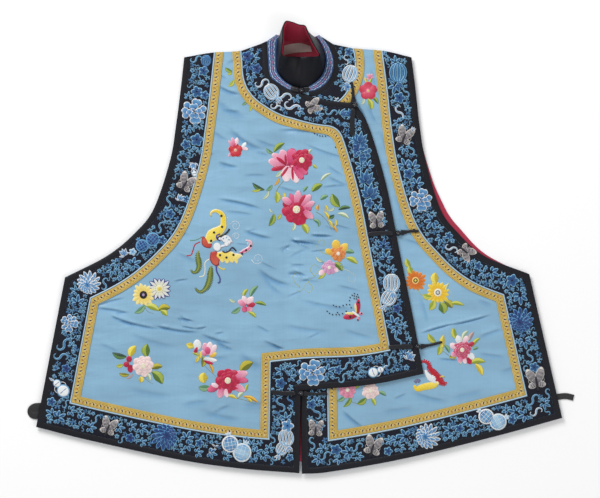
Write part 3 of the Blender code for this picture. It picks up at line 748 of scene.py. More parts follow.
def satin_ground():
    """Blue satin: broad bands of uneven tone along the weft, partly uneven dye and partly painted
    shade of soft creases; shade painted into its colour along the folds; and soft small creases in
    its bump.
    """
    material, tree, shader, where = new_finish("blue silk satin", 0.40, 0.1, 0.5, "Object")
    weave = use(tree, WEAVE, Vector=where, Warp=math.tau / 0.00035, Weft=math.tau / 0.00035)
    # Broad bands, lighter and darker along the weft: partly uneven dye, partly painted shade of
    # soft creases.
    tone = use(tree, DYE, Vector=where, Amount=0.42, Clouds=7.0, Streaks=(9.0, 52.0, 9.0))
    warp = use(tree, DYE, Vector=where, Amount=0.12, Clouds=60.0, Streaks=(600.0, 20.0, 20.0))
    # The fold attribute holds painted shade: it darkens the satin's blue in the troughs of the
    # folds.
    fold = node(tree, "Attribute", attribute_name="fold").outputs["Fac"]
    ground = mix(tree, maths(tree, "MULTIPLY", fold, FOLD_PAINTED_SHADE), SILK_BLUE, SILK_PAINTED_SHADE)
    fine = dress(tree, shader, ground, 0.1, weave, tone, warp)
    bent = node(tree, "TexNoise", Vector=where, Scale=9.0)
    bend = node(tree, "VectorMath", bent.outputs["Color"], (0.05, 0.05, 0.0), where,
                operation="MULTIPLY_ADD")
    stretched = node(tree, "VectorMath", bend.outputs[0], (13.0, 62.0, 10.0),
                     operation="MULTIPLY")
    creases = node(tree, "TexNoise", Vector=stretched.outputs[0], Scale=1.0, Detail=3.0,
                   Roughness=0.45)
    sharp = node(tree, "MapRange", Value=creases.outputs[0], From_Min=0.5, From_Max=0.72)
    broad = node(tree, "Bump", Strength=CREASE_SHADE, Distance=0.004, Height=sharp.outputs[0],
                 Normal=fine)
    feed(tree, shader["Normal"], broad.outputs[0])
    return material


def figured_band(name, roughness, ground, dyed, warp, weft, depth, figures, bump):
    """Woven band: rows of repeated figures on a ground of one colour, or of two."""
    material, tree, shader, uv = new_finish(name, roughness, 0.1, 0.4)
    weave = use(tree, WEAVE, Vector=uv, Warp=math.tau / warp, Weft=math.tau / weft, Depth=depth)
    dyes = []
    if dyed:
        dyes = [use(tree, DYE, Vector=uv, Amount=0.3, Clouds=0.05, Streaks=(0.1, 1.5, 1.0))]
        ground = mix(tree, dyes[0]["Mask"], dyed, ground)
    for tint, repeat, shift, across, long, wide, slant in figures:
        mark = use(tree, FIGURE, UV=uv, Repeat=repeat, Shift=shift, Across=across, Long=long,
                   Wide=wide, Slant=slant)
        ground = mix(tree, mark["Mask"], ground, tint)
    dress(tree, shader, ground, bump, weave, *dyes)
    return material


# %% Colours, and the finishes made from them
# Strength of the crease bump, and how far the shade painted in the folds darkens the satin.
CREASE_SHADE, FOLD_PAINTED_SHADE = 0.12, 0.65
# The satin's own blue, and the darker blue of the shade painted in its folds.
SILK_BLUE, SILK_PAINTED_SHADE = (0.240, 0.440, 0.610), (0.060, 0.225, 0.450)
NAVY = (0.0065, 0.0075, 0.017)
BLACK_SATIN = (0.0065, 0.007, 0.0115)
PALE_BLUE = (0.42, 0.60, 0.76)
GOLD, GOLD_DEEP = (0.62, 0.45, 0.12), (0.56, 0.36, 0.055)
CRIMSON = (0.40, 0.012, 0.05)
BRAID_BLUE = (0.030, 0.085, 0.24)
WHITE, PINK = (0.52, 0.64, 0.76), (0.42, 0.16, 0.28)
IVORY = (0.50, 0.41, 0.37)
TIE_BLACK = (0.014, 0.014, 0.016)
DARK_MARK, LEAF_MARK, PINK_MARK = (0.03, 0.015, 0.02), (0.26, 0.20, 0.03), (0.60, 0.22, 0.10)
PALE_EDGE = (0.78, 0.64, 0.34)
RIBBON_FIGURES = (
    # tint, repeat, shift, across, half length, half width, slant
    (LEAF_MARK, 5.5, 0.0, 3.6, 1.5, 0.55, 0.9), (LEAF_MARK, 5.5, 2.6, 8.8, 1.5, 0.55, 0.9),
    (PINK_MARK, 11.0, 8.4, 4.6, 1.1, 0.8, 0.0), (PINK_MARK, 11.0, 1.4, 7.8, 1.1, 0.8, 0.0),
    (PALE_EDGE, 11.0, 2.8, 6.2, 2.3, 2.2, 0.0), (DARK_MARK, 11.0, 2.8, 6.2, 1.3, 1.9, 0.35),
    (DARK_MARK, 11.0, 8.3, 6.2, 0.8, 1.0, -0.5), (LEAF_MARK, 2.2, 0.0, 1.3, 0.75, 0.4, 0.0),
    (LEAF_MARK, 2.2, 0.0, 11.3, 0.75, 0.4, 0.0),
)
BRAID_FIGURES = (
    (WHITE, 8.0, 0.0, 2.3, 1.9, 0.8, 1.2), (WHITE, 8.0, 4.0, 2.9, 1.5, 0.6, -1.2),
    (WHITE, 8.0, 0.0, 10.2, 1.9, 0.8, -1.2), (WHITE, 8.0, 4.0, 9.6, 1.5, 0.6, 1.2),
    (PINK, 8.0, 2.0, 6.3, 2.6, 1.1, 0.0), (WHITE, 8.0, 6.0, 6.3, 1.0, 0.5, 0.0),
)
silk = satin_ground()
border_silk = plain_cloth("border silk", NAVY, 0.6, 0.0005, 0.3, 0.0, 0.2)
satin = plain_cloth("black satin", BLACK_SATIN, 0.5, 0.0005, 0.3, 0.0, 0.25)
piping_silk = plain_cloth("piping silk", PALE_BLUE, 0.4, 0.0004, 0.15, 0.1)
lining_silk = plain_cloth("crimson lining", CRIMSON, 0.5, 0.0005, 0.25, 0.1)
label_tape = plain_cloth("label tape", IVORY, 0.6, 0.0006, 0.25, 0.1)
cord_satin = plain_cloth("rolled satin", BLACK_SATIN, 0.4, 0.0006, 0.3, 0.0, 0.4)
tie_ribbon = plain_cloth("tie ribbon", TIE_BLACK, 0.45, 0.0006, 0.3, 0.1)
ribbon_silk = figured_band("yellow ribbon", 0.5, GOLD, GOLD_DEEP, 0.5, 0.7, 0.2,
                           RIBBON_FIGURES, 0.35)
braid_silk = figured_band("zigzag braid", 0.55, BRAID_BLUE, None, 0.6, 0.6, 0.25,
                          BRAID_FIGURES, 0.4)
print("finishes:", sum(m.use_nodes for m in bpy.data.materials))

# %% [markdown]
# ## Stage, light and camera
# The garment lies flat, so it is seen from straight above, and from far enough away that the
# standing collar doesn't lean outwards. The light is even, with one broad lamp to a side,
# because the folds in satin only show where the light has a direction.

# %% Floor, lamps and camera
VIEW_WIDTH = 0.9          # width of the view at the cloth
CAMERA_HEIGHT, CAMERA_REACH = 6.0, 20
VIEW_MIDDLE = (-0.0012, -0.0027, 0.006)
PAPER, SKY, SKY_POWER = (0.96, 0.96, 0.96, 1), (1.0, 1.0, 1.0, 1.0), 0.50
FLOOR_DROP = 0.0004       # how far the floor lies below the cloth
LAMPS = (
    # name, power, size, where it stands
    ("window light", 88, 1.4, (-1.4, 2.3, 1.9)), ("fill light", 20, 2.0, (1.6, -1.4, 2.4)),
)
bpy.ops.object.select_all(action="DESELECT")
bpy.ops.mesh.primitive_plane_add(size=8, location=(0, 0, -FLOOR_DROP))
floor = bpy.context.object
floor.name = "floor"
paper = bpy.data.materials.new("paper")
paper.use_nodes = True
paper_shader = paper.node_tree.nodes["Principled BSDF"].inputs
paper_shader["Base Color"].default_value = PAPER
paper_shader["Roughness"].default_value = 0.9
floor.data.materials.append(paper)

scene = bpy.context.scene
scene.world = bpy.data.worlds.new("studio")
scene.world.use_nodes = True
sky = scene.world.node_tree.nodes["Background"].inputs
sky["Color"].default_value, sky["Strength"].default_value = SKY, SKY_POWER
for name, power, size, spot in LAMPS:
    light = bpy.data.lights.new(name, "AREA")
    light.energy, light.size = power, size
    holder = bpy.data.objects.new(name, light)
    scene.collection.objects.link(holder)
    holder.location = spot
    holder.rotation_euler = (-Vector(spot)).to_track_quat("-Z", "Y").to_euler()

camera_data = bpy.data.cameras.new("camera")
camera_data.lens = camera_data.sensor_width * CAMERA_HEIGHT / VIEW_WIDTH
camera_data.clip_end = CAMERA_REACH
camera = bpy.data.objects.new("camera", camera_data)
scene.collection.objects.link(camera)
camera.location = Vector(VIEW_MIDDLE) + Vector((0, 0, CAMERA_HEIGHT))
bpy.context.scene.camera = camera
scene.view_settings.view_transform = "Standard"
print("lens in mm:", round(camera_data.lens, 1))

# %% [markdown]
# ## Back and lining
# The back is one panel, flat on the surface, with its crimson lining above it: of both, only
# a sliver of lining shows beside the right armhole and in the slit. Each is cut from the same
# outline and given its wall by a Solidify modifier, as cloth has the same thickness all over.

# %% Triangulate an outline and give it a wall
WELD = 1e-3               # points nearer than this, in millimetres, are one
SLIVER = 0.00002          # edges shorter than this, in metres, are closed up
WALL_SHARP = 50           # degrees between a panel's faces and its cut edge


def lattice(outline, spacing, clear):
    """Even triangular rows of points well inside an outline."""
    low, high = outline.min(axis=0), outline.max(axis=0)
    rows = np.arange(low[1], high[1], spacing * math.sqrt(3) / 2)
    across = np.arange(low[0], high[0], spacing)
    points = np.array([(x + spacing / 2 * (k % 2), y)
                       for k, y in enumerate(rows) for x in across])
    return well_inside(points, outline, clear)


def well_inside(points, outline, clear):
    """The points inside an outline that keep clear of it."""
    points = points[inside(points, outline)]
    return points[from_line(points, outline) > clear]


def cut_cloth(outline, loose):
    """Triangles inside a closed outline, through loose points."""
    points = [Vector(p) for p in (*outline, *loose)]
    edges = [(i, (i + 1) % len(outline)) for i in range(len(outline))]
    verts, _, faces, *_ = delaunay_2d_cdt(points, edges, [], 0, WELD)
    verts = np.array([(v.x, v.y) for v in verts])
    faces = np.array([f for f in faces if len(f) == 3])
    faces = faces[inside(verts[faces].mean(axis=1), outline)]
    a, b, c = (verts[faces[:, k]] for k in range(3))
    turn = (b - a)[:, 0] * (c - a)[:, 1] - (b - a)[:, 1] * (c - a)[:, 0]
    return verts, [tuple(f) if t > 0 else tuple(f[::-1]) for f, t in zip(faces, turn)]


def cloth_piece(name, outline, loose, height, wall, material, slot, *nodes):
    """One cloth panel: its outer face at a height, and a wall below it."""
    verts, faces = cut_cloth(outline, loose)
    piece = finish_piece(name, np.column_stack([verts, height(verts)]), faces, None, material,
                         slot, *nodes)
    edit(piece, lambda: bpy.ops.mesh.dissolve_degenerate(threshold=SLIVER),
         bpy.ops.mesh.delete_loose)
    solid = piece.modifiers.new("wall", "SOLIDIFY")
    solid.thickness = wall * MM
    solid.offset = -1
    bpy.ops.object.modifier_apply(modifier="wall")
    piece.data.set_sharp_from_angle(angle=math.radians(WALL_SHARP))
    return piece


def level(height):
    """The same height everywhere."""
    return lambda points: np.full(len(points), float(height))


# %% Back and its lining
BACK_STEP = 8.0           # between points along the back's edge
BACK_LATTICE, LINING_LATTICE = (30, 12), (12, 5)   # spacing, and clear of the edge
TUCK, TUCK_RIGHT_OF = 2.4, 100   # how far one armhole of the back is drawn in
TUCK_FROM, TUCK_TO, TUCK_EASE = 60, 240, (40, 20)   # heights between which it is, and ramps
back_line = np.vstack([smooth(points, BACK_STEP)[:-1] for points in BACK_OUTLINE])
# The wearer's left armhole of the back hides under the front's binding above the chest.
x, y = back_line.T
back_line[:, 0] = x - (TUCK * (x > TUCK_RIGHT_OF) * ease((y - TUCK_FROM) / TUCK_EASE[0])
                       * ease((TUCK_TO - y) / TUCK_EASE[1]))
cloth_piece("back_silk", back_line, lattice(back_line, *BACK_LATTICE), level(BACK_WALL),
            BACK_WALL, silk, "silk", "back")
cloth_piece("back_lining_silk", back_line, lattice(back_line, *LINING_LATTICE),
            level(LINING_TOP), LINING_WALL, lining_silk, "lining", "back_lining")
print("back points:", len(HOLD["back_silk"].data.vertices))

# %% [markdown]
# ## The two fronts
# Each front is one thin shell over its measured cut, fine enough to hold the listed folds.
# Its colour comes from a weave on Object coordinates, whose fine streaks run down the
# warp as they do in a satin.

# %% The neck seam
NECK_POINT = {"left": (-37, 319), "right": (27.5, 318.5)}
COLLAR_HEIGHT, COLLAR_WALL, COLLAR_BULGE = 48.0, 1.6, 2.0
COLLAR_STACK = COLLAR_WALL + GAP + LINING_WALL
COLLAR_FOOT = LINING_TOP + GAP
COLLAR = (
    # seam_x, seam_y, rim_x, rim_y
    (0.6, 239, 0.6, 284), (12, 241.5, 11, 284), (26, 251, 22, 284), (35, 265, 29, 286),
    (37.5, 285, 25, 294), (31, 304, 17, 307), (22, 315, 11, 320), (10, 311.5, 7, 330),
    (-5, 309, -3, 332.5), (-19, 311, -13, 336), (-28.5, 315.5, -22.5, 337),
    (-35, 311, -27, 327), (-36.5, 298, -28, 309), (-36.5, 281, -30, 294),
    (-35.5, 264, -29, 286), (-26, 251, -21, 284), (-14, 243, -11, 284),
    (-1.6, 239, -1.6, 284),
)
RIGHT_SHOULDER_ROW, LEFT_SHOULDER_ROW = 6, 10
SEAM_GAP, SEAM_STEP = 1.2, 4.0   # from seam to front, and between points along the seam
STRIP_LEFT_OF, STRIP_ABOVE = -0.5, 230   # where the left front's neck edge has its strip
SAME_POINT = 0.05


def nearest(line, point):
    """Index of the point of a line that is nearest to a point."""
    return int(np.argmin(np.linalg.norm(line - point, axis=1)))


seam = smooth([row[:2] for row in COLLAR], SEAM_STEP)
beside = seam - SEAM_GAP * sideways(seam)
right_end, left_end = (nearest(seam, np.array(COLLAR[row][:2]))
                       for row in (RIGHT_SHOULDER_ROW, LEFT_SHOULDER_ROW))


def neck_strip(side):
    """The narrow strip of a front between collar and neck edge: its line on either side."""
    front = FRONTS[side]
    neck = front.runs[front.index("neck")].line[:-1]
    if side == "left":
        cut, at_seam = neck[1:], beside[left_end:][::-1]
        cut = cut[(cut[:, 0] < STRIP_LEFT_OF) & (cut[:, 1] > STRIP_ABOVE)]
    else:
        cut = np.vstack([front.runs[front.index("neck_plain")].line[1:-1], neck[2:]])
        at_seam = beside[:right_end + 1]
    return np.vstack([at_seam, [NECK_POINT[side]]]), cut[::-1]


def join_outlines(side):
    """Walk the cut edge, and the strip where the two share the neck edge."""
    at_seam, cut = neck_strip(side)
    edge = FRONTS[side].outline(0)
    first, last = nearest(edge, cut[-1]), nearest(edge, cut[0])
    edge = np.roll(edge, -first, axis=0)
    whole = np.vstack([edge[:1], at_seam, edge[(last - first) % len(edge):]])
    return whole[np.linalg.norm(whole - np.roll(whole, 1, axis=0), axis=1) > SAME_POINT]


# %% Fronts
LATTICE, LATTICE_CLEAR = 3.3, 2.5   # between points inside a front, and from its edge
ACROSS_FOLD = np.array((-1.8, -1.0, -0.5, -0.1, 0.25, 0.55, 0.9, 1.3, 1.8))
ALONG_FOLD, PAST_FOLD = 3.5, 0.05   # between points along a fold, and share past its ends
FOLD_CLEAR, FOLD_FADED = 2.2, 0.05   # the lattice keeps so far from a fold not yet faded


def fold_points(side, outline):
    """The lattice with rows of closer points along every fine fold in its place."""
    loose, rows = lattice(outline, LATTICE, LATTICE_CLEAR), []
    for x1, y1, x2, y2, half_width, depth, bow in RIPPLES[side]:
        near, fade = beside_fold(loose, x1, y1, x2, y2, half_width, bow)
        loose = loose[(np.abs(near) > FOLD_CLEAR) | (fade < FOLD_FADED)]
        way = np.array((x2 - x1, y2 - y1), float)
        length = np.linalg.norm(way)
        t = np.linspace(-PAST_FOLD, 1 + PAST_FOLD, max(4, int(length / ALONG_FOLD)))
        t = t[:, None, None]
        off = bow * 4 * t * (1 - t) + ACROSS_FOLD[:, None] * half_width * FOLD_SHARP
        rows.append(((x1, y1) + t * way + off * np.array((-way[1], way[0])) / length)
                    .reshape(-1, 2))
    return np.vstack([loose, well_inside(np.vstack(rows), outline, LATTICE_CLEAR)])


for side in FRONTS:
    outline = join_outlines(side)
    piece = cloth_piece(f"front_{side}_silk", outline, fold_points(side, outline),
                        lambda p, side=side: front_height(side, p), FRONT_WALL, silk, "silk",
                        f"front_{side}")
    # Painted shade of the folds, kept on the front as a point attribute named fold.
    spots = np.array([v.co[:2] for v in piece.data.vertices]) / MM
    shade = piece.data.attributes.new("fold", "FLOAT", "POINT")
    shade.data.foreach_set("value", painted_fold_shade(side, spots).astype(np.float32))
    print(side, "front faces:", len(piece.data.polygons))

# %% [markdown]
# ## Bindings, borders, piping and ribbon
# The raw edge is wrapped in a bias-cut satin binding, which turns down over the cloth's edge.
# Inside it lies the dark border, cut in one length for each edge and mitred at the corners,
# then a pale cord of piping and the woven ribbon. Each is one cross-section swept along.

# %% Cross-sections of the trims: (layer, shift inward, height above the cloth)
EDGE_GAP = GAP / 2
BINDING_SECTION = [(0, -0.9, -1.0), (0, -1.0, 0.2), (0, -0.6, 0.95), (0, 0.5, 1.4),
                   (0, 2.6, 1.6), (1, -3.0, 1.55), (1, -1.0, 1.45), (1, -EDGE_GAP, 1.1),
                   (1, -EDGE_GAP, GAP), (0, 0.4, GAP), (0, -0.3, 0.25), (0, -0.35, -1.0)]
BORDER_SECTION = [(1, EDGE_GAP, GAP), (1, EDGE_GAP, 1.1), (1, 1.2, 1.3), (1.4, 0, 1.3),
                  (1.8, 0, 1.35), (2.2, 0, 1.35), (2.6, 0, 1.3), (3, -1.2, 1.3),
                  (3, -EDGE_GAP, 1.1), (3, -EDGE_GAP, GAP)]
PIPING_SECTION = [(3, EDGE_GAP, GAP), (3, 0.2, 1.1), (3, 0.7, 1.7), (3.5, 0, 1.95),
                  (4, -0.7, 1.7), (4, -0.2, 1.1), (4, -EDGE_GAP, GAP)]
RIBBON_SECTION = [(4, EDGE_GAP, GAP), (4, EDGE_GAP, 1.2), (4, 1.0, 1.45), (4.3, 0, 1.35),
                  (4.7, 0, 1.35), (5, -1.0, 1.45), (5, -EDGE_GAP, 1.2), (5, -EDGE_GAP, GAP)]
RUNS = {
    ("left", ""): ("armhole", "side", "hem", "slit", "step", "lapel", "neck"),
    ("right", ""): ("armhole", "side", "hem", "slit"),
    ("right", "_neck"): ("neck",),
}

# %% Sweep them along both fronts
for (side, suffix), names in RUNS.items():
    front = FRONTS[side]
    for trim, section, material, slot in (
            ("binding", BINDING_SECTION, satin, "satin"),
            ("piping", PIPING_SECTION, piping_silk, "piping"),
            ("ribbon", RIBBON_SECTION, ribbon_silk, "ribbon")):
        trim_piece(f"{trim}{suffix}_{side}_trim", front, names, section, material, slot,
                   f"{trim}{suffix}_{side}")
    for name in names:
        trim_piece(f"border_{name}_{side}_band", front, [name], BORDER_SECTION, border_silk,
                   "border_silk", f"border_{name}_{side}", EDGE_GAP)
print("trims:", sum("trim" in n or "band" in n for n in HOLD))

# %% [markdown]
# ## Collar
# The collar is a stiffened band of dark satin with a crimson lining. It stands on the neck
# seam and, laid flat, leans back unevenly, so its front shows its outside and its back shows
# the lining. It is a loft between the seam and the rim, closed into a wall with a rolled rim.

# %% A wall lofted between seam and rim
COLLAR_ROWS = 10
COLLAR_MEETS = (-0.55, -0.45)   # x of its two front ends, which meet edge to edge
COLLAR_FOLDS = (
    # place along the collar from 0 to 1, width, depth in millimetres
    (0.04, 0.02, -1.2), (0.09, 0.02, 1.4), (0.15, 0.025, -1.4), (0.30, 0.03, 0.9),
    (0.46, 0.03, -0.8), (0.60, 0.035, 0.9), (0.74, 0.03, -0.9), (0.86, 0.022, 1.5),
    (0.91, 0.018, -1.2), (0.96, 0.015, 1.2),
)
FOLD_LEAN, FOLD_REACH = 0.05, 0.9   # drift along the collar, and height that a fold takes
FOOT_LIFT = 1.1           # height under a part that lies flat, in collar stacks
RIM_ROUND, LINING_RIM = 0.7, -0.8   # how far the rims of collar and lining stand proud
COLLAR_STEP, COLLAR_SHARP = 3.0, 60


def collar_face():
    """Outer face of the collar: columns of points from the seam up to the rim."""
    rows = smooth(COLLAR, COLLAR_STEP)
    rows[0, [0, 2]], rows[-1, [0, 2]] = COLLAR_MEETS
    t = np.linspace(0, 1, COLLAR_ROWS + 1)
    foot_line, reach = rows[:, :2], rows[:, 2:] - rows[:, :2]
    lean = np.linalg.norm(reach, axis=1)[:, None]
    rise = np.sqrt(np.maximum(0, COLLAR_HEIGHT ** 2 - lean ** 2))
    lean /= COLLAR_HEIGHT
    height = (COLLAR_FOOT + FOOT_LIFT * COLLAR_STACK * lean + rise * t
              + COLLAR_BULGE * np.sin(np.pi * t) * lean)
    return np.dstack([foot_line[:, None] + reach[:, None] * t[:, None], height])


def collar_wall(name, near, far, rim, material, slot, node_name):
    """Closed wall between two depths behind the collar's outer face, with a rounded rim."""
    face = collar_face()
    up = np.gradient(face, axis=1)
    normal = unit(np.cross(np.gradient(face, axis=0), up))
    place = np.linspace(0, 1, len(face))[:, None, None]
    rise = np.linspace(0, 1, COLLAR_ROWS + 1)[:, None]
    folds = sum(depth * np.exp(-((place - at - FOLD_LEAN * (rise - 0.5)) / width) ** 2)
                for at, width, depth in COLLAR_FOLDS)
    face = face + normal * folds * np.sin(np.pi * rise * FOLD_REACH)
    outer, inner = face - normal * near, face - normal * far
    crown = (outer[:, -1:] + inner[:, -1:]) / 2 + unit(up[:, -1:]) * rim
    loft(name, np.concatenate([outer, crown, inner[:, ::-1]], axis=1), None, COLLAR_SHARP,
         material, slot, node_name)


collar_wall("collar_satin", 0.0, COLLAR_WALL, RIM_ROUND, satin, "satin", "collar")
collar_wall("collar_lining_silk", COLLAR_WALL + GAP, COLLAR_STACK, LINING_RIM, lining_silk,
            "lining", "collar_lining")
print("collar faces:", len(HOLD["collar_satin"].data.polygons))

# %% [markdown]
# ## Braid and label
# A narrow braid covers the seam of collar and front. Its two edges follow different curves,
# so it is ruled between them. The label is a blank woven tape on the lining.

# %% Strips ruled between two lines
STRIP_WIDTH = 13.0        # nominal width of a strip in its UVs
STRIP_STEP, STRIP_SHARP = 2.5, 45


def spread(line, count):
    """The line again with its points at even distances, and those distances."""
    lengths = np.concatenate([[0], np.cumsum(np.linalg.norm(np.diff(line, axis=0), axis=1))])
    at = np.linspace(0, lengths[-1], count)
    return np.column_stack([np.interp(at, lengths, line[:, k]) for k in (0, 1)]), at


def ruled_strip(name, first, second, section, height, material, slot, *nodes,
                step=STRIP_STEP):
    """Closed strip between two lines; the section is (place across, height above)."""
    count = max(2, round(np.linalg.norm(np.diff(first, axis=0), axis=1).sum() / step))
    (a, u), (b, _) = spread(first, count), spread(second, count)
    columns = []
    for t, lift in section:
        flat = a + (b - a) * t
        columns.append(np.column_stack([flat, height(flat) + lift]))
    across = [t * STRIP_WIDTH for t, _ in section]
    uvs = [corner for u0, u1 in zip(u, u[1:])
           for v0, v1 in zip(across, across[1:] + across[:1])
           for corner in ((u0, v0), (u0, v1), (u1, v1), (u1, v0))]
    return loft(name, np.stack(columns, axis=1), uvs, STRIP_SHARP, material, slot, *nodes)


# %% Braid round the neck, and the binding that goes on past its end
BRAID_END = {"left": -14.0, "right": 12.0}
BRAID_SECTION = [(-0.1, GAP), (-0.1, 1.1), (0.02, 1.45), (0.35, 1.35), (0.65, 1.35),
                 (0.9, 1.45), (0.99, 1.1), (0.99, GAP)]


def part_of(line, x, side, braided):
    """The part of a line that the braid covers, or the part beyond its end."""
    if line[0, 1] < line[-1, 1]:
        line = line[::-1]
    last = int(np.argmax(line[:, 0] > x if side == "left" else line[:, 0] < x))
    a, b = line[last - 1], line[last]
    cross = a + (b - a) * ((x - a[0]) / (b[0] - a[0]))
    return np.vstack([line[:last], [cross]]) if braided else np.vstack([[cross], line[last:]])


for side, bound in (("left", "binding_left_trim"), ("right", "binding_neck_right_trim")):
    at_seam, cut = neck_strip(side)
    lines = at_seam[:-1][::-1], np.vstack([at_seam[-1:], cut])
    for name, braided, finish in ((f"braid_{side}_strip", True,
                                   (braid_silk, "braid", f"braid_{side}")),
                                  (f"neck_facing_{side}", False, (satin, "satin"))):
        facing = ruled_strip(name, *[part_of(line, BRAID_END[side], side, braided)
                                     for line in lines], BRAID_SECTION,
                             lambda p, side=side: front_height(side, p), *finish)
    only(HOLD.pop(facing.name), HOLD[bound])
    bpy.ops.object.join()

# %% Label
LABEL_TOP = ((-25, 302.5), (-12, 305.5), (1, 306), (14, 302))
LABEL_BOTTOM = ((-27, 287.5), (-12, 291.5), (3, 292.5), (17, 293.5))
LABEL_SECTION = [(0, 0), (0, 0.7), (0.06, 0.8), (0.14, 0.55), (0.5, 0.7), (0.86, 0.55),
                 (0.94, 0.8), (1, 0.7), (1, 0)]
ruled_strip("label_tape", smooth(LABEL_TOP), smooth(LABEL_BOTTOM), LABEL_SECTION,
            level(LINING_TOP + GAP), label_tape, "label", "label")
print("label faces:", len(HOLD["label_tape"].data.polygons))

# %% [markdown]
# ## Knots and loops
# A knot button is a rolled satin cord tied back through itself. The strap behind it and the
# loop that holds it are the same cord, doubled and sewn flat. The knot is modelled once as a
# Turk's head, a cord that winds round a ball and passes over and under itself, and copied.

# %% Cords that follow the cloth
STRAP_HALF, LOOP_HALF = (3.6, 1.1), (2.6, 1.0)   # half width and half height
CORD_STEP, CORD_SIDES, CORD_SHARP = 1.5, 20, 60
NEAR_POINTS = 12          # points of a CAD cord that tell its height at one place
GROOVE, GROOVE_HALF = 0.35, 0.28   # between the two cords: depth and half width, as shares
END_SIZE, END_ROWS = 0.55, 1.5   # a cord's end: how small, and over how many rows
LOOP_START, LOOP_SWELL, SWELL_REACH = 0.78, 0.85, 7.0   # a loop's width beside its knot
KNOT_RADIUS, KNOT_FLAT, KNOT_CLEAR = 4.2, 0.75, 0.1   # and air from knot to loop
CLOSURES = (
    # name, strap points, knot, loop points
    ("top", ((77, 167), (77, 190), (79, 208)), (81, 213), ((79, 219), (78, 236), (76, 248))),
    ("chest", ((101, 19), (120, 21), (138, 21)), (146, 21), ((153, 22), (164, 24), (177, 24))),
    ("waist", ((132, -150), (152, -149), (168, -149)), (175, -149),
     ((181, -149), (197, -146), (212, -142))),
    ("slit", ((-44, -217), (-24, -219), (-8, -219)), (0, -219),
     ((8, -219.5), (24, -220), (40, -219))),
    ("neck", ((-15, 238), (-9, 236), (-3, 235)), (1.3, 235), ((7, 236), (10, 237), (13, 238))),
)


def middle_height(name, points):
    """Middle height of a CAD cord at points along it, in millimetres."""
    co = np.array([v.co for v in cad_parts[name].data.vertices]) / MM
    near = [co[np.argsort(np.linalg.norm(co[:, :2] - p, axis=1))[:NEAR_POINTS], 2]
            for p in points]
    return np.array([(z.max() + z.min()) / 2 for z in near])[:, None]


def doubled_cord(name, points, half_width, half_height, knot=None):
    """Two rolled cords side by side along the CAD strap; a loop starts wide at its knot."""
    line = smooth(points, CORD_STEP)
    swell = np.ones(len(line))
    if knot is not None:
        line = np.vstack([knot + unit(line[0] - knot) * (KNOT_RADIUS + KNOT_CLEAR), line])
        gone = np.linalg.norm(line - line[0], axis=1)
        swell = LOOP_START + LOOP_SWELL * np.exp(-(gone / SWELL_REACH) ** 2)
    angles = np.linspace(0, math.tau, CORD_SIDES, endpoint=False)
    wide = np.cos(angles)
    tall = np.sin(angles) * (1 - GROOVE * np.exp(-(wide / GROOVE_HALF) ** 2))
    order = np.arange(len(line))
    size = np.sqrt(np.clip(np.minimum(order, order[::-1]) / END_ROWS, 0, 1))
    size = END_SIZE + (1 - END_SIZE) * size
    if knot is not None:
        size[:len(size) // 2] = 1
    out = half_width * (size * swell)[:, None] * wide
    flat = line[:, None] + sideways(line)[:, None] * out[..., None]
    height = middle_height(name, line) + tall * half_height * size[:, None]
    loft(f"{name}_cord", np.dstack([flat, height]), None, CORD_SHARP, cord_satin, "cord",
         name)


# %% Knots, with their straps and loops
KNOT_LEADS, KNOT_BIGHTS, KNOT_CORD = 3, 4, 1.05   # turns, bends at each side, cord radius
KNOT_STEPS, KNOT_SIDES, KNOT_SHARP = 132, 8, 180
KNOT_TILT, KNOT_TALL = 1.05, 1.05   # how far the cord climbs, in radians, and its stretch
UNDER_OVER, CROSSING_TURN = 0.4, 0.6   # how far the cord dips where it crosses, and where
KNOT_INSET, CORE_INSET = 0.2, 1.5   # of the cord's path and of the ball inside it


def knot_grid():
    """A Turk's head of cord round a small ball, centred on the origin."""
    t = np.linspace(0, math.tau * KNOT_LEADS, KNOT_STEPS, endpoint=False)
    bend = KNOT_BIGHTS * t / KNOT_LEADS
    tilt = KNOT_TILT * np.sin(bend)
    reach = KNOT_RADIUS - KNOT_CORD - KNOT_INSET + UNDER_OVER * np.cos(2 * bend + CROSSING_TURN)
    path = np.column_stack([reach * np.cos(tilt) * np.cos(t), reach * np.cos(tilt) * np.sin(t),
                            reach * np.sin(tilt) * KNOT_TALL])
    along = unit(np.roll(path, -1, axis=0) - np.roll(path, 1, axis=0))
    out = unit(path - (path * along).sum(axis=1)[:, None] * along)
    angles = np.linspace(0, math.tau, KNOT_SIDES, endpoint=False)[:, None]
    grid = path[:, None] + KNOT_CORD * (np.cos(angles) * out[:, None]
                                        + np.sin(angles) * np.cross(along, out)[:, None])
    return grid * (1, 1, KNOT_FLAT)


turks_head = knot_grid()
for name, strap, knot, loop in CLOSURES:
    doubled_cord(f"strap_{name}", strap, *STRAP_HALF)
    doubled_cord(f"loop_{name}", loop, *LOOP_HALF, np.array(knot))
    middle = np.array(sum(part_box(f"knot_{name}"), Vector()) / 2)
    cord = loft(f"knot_{name}_cord", turks_head + middle / MM, None, KNOT_SHARP,
                cord_satin, "cord", f"knot_{name}", ring=True)
    bpy.ops.mesh.primitive_ico_sphere_add(subdivisions=3, location=middle,
                                          radius=(KNOT_RADIUS - CORE_INSET) * MM)
    core = bpy.context.object
    core.scale = (1, 1, KNOT_FLAT)
    only(core, cord)
    bpy.ops.object.join()
    cord.data.shade_smooth()
print("closures:", len(CLOSURES))

# %% [markdown]
# ## Side ties
# A short ribbon is sewn to each side edge: one is folded back into a loop, the other is cut
# to a stub. They lie on the surface, so each is a flat strip with thin selvedges.

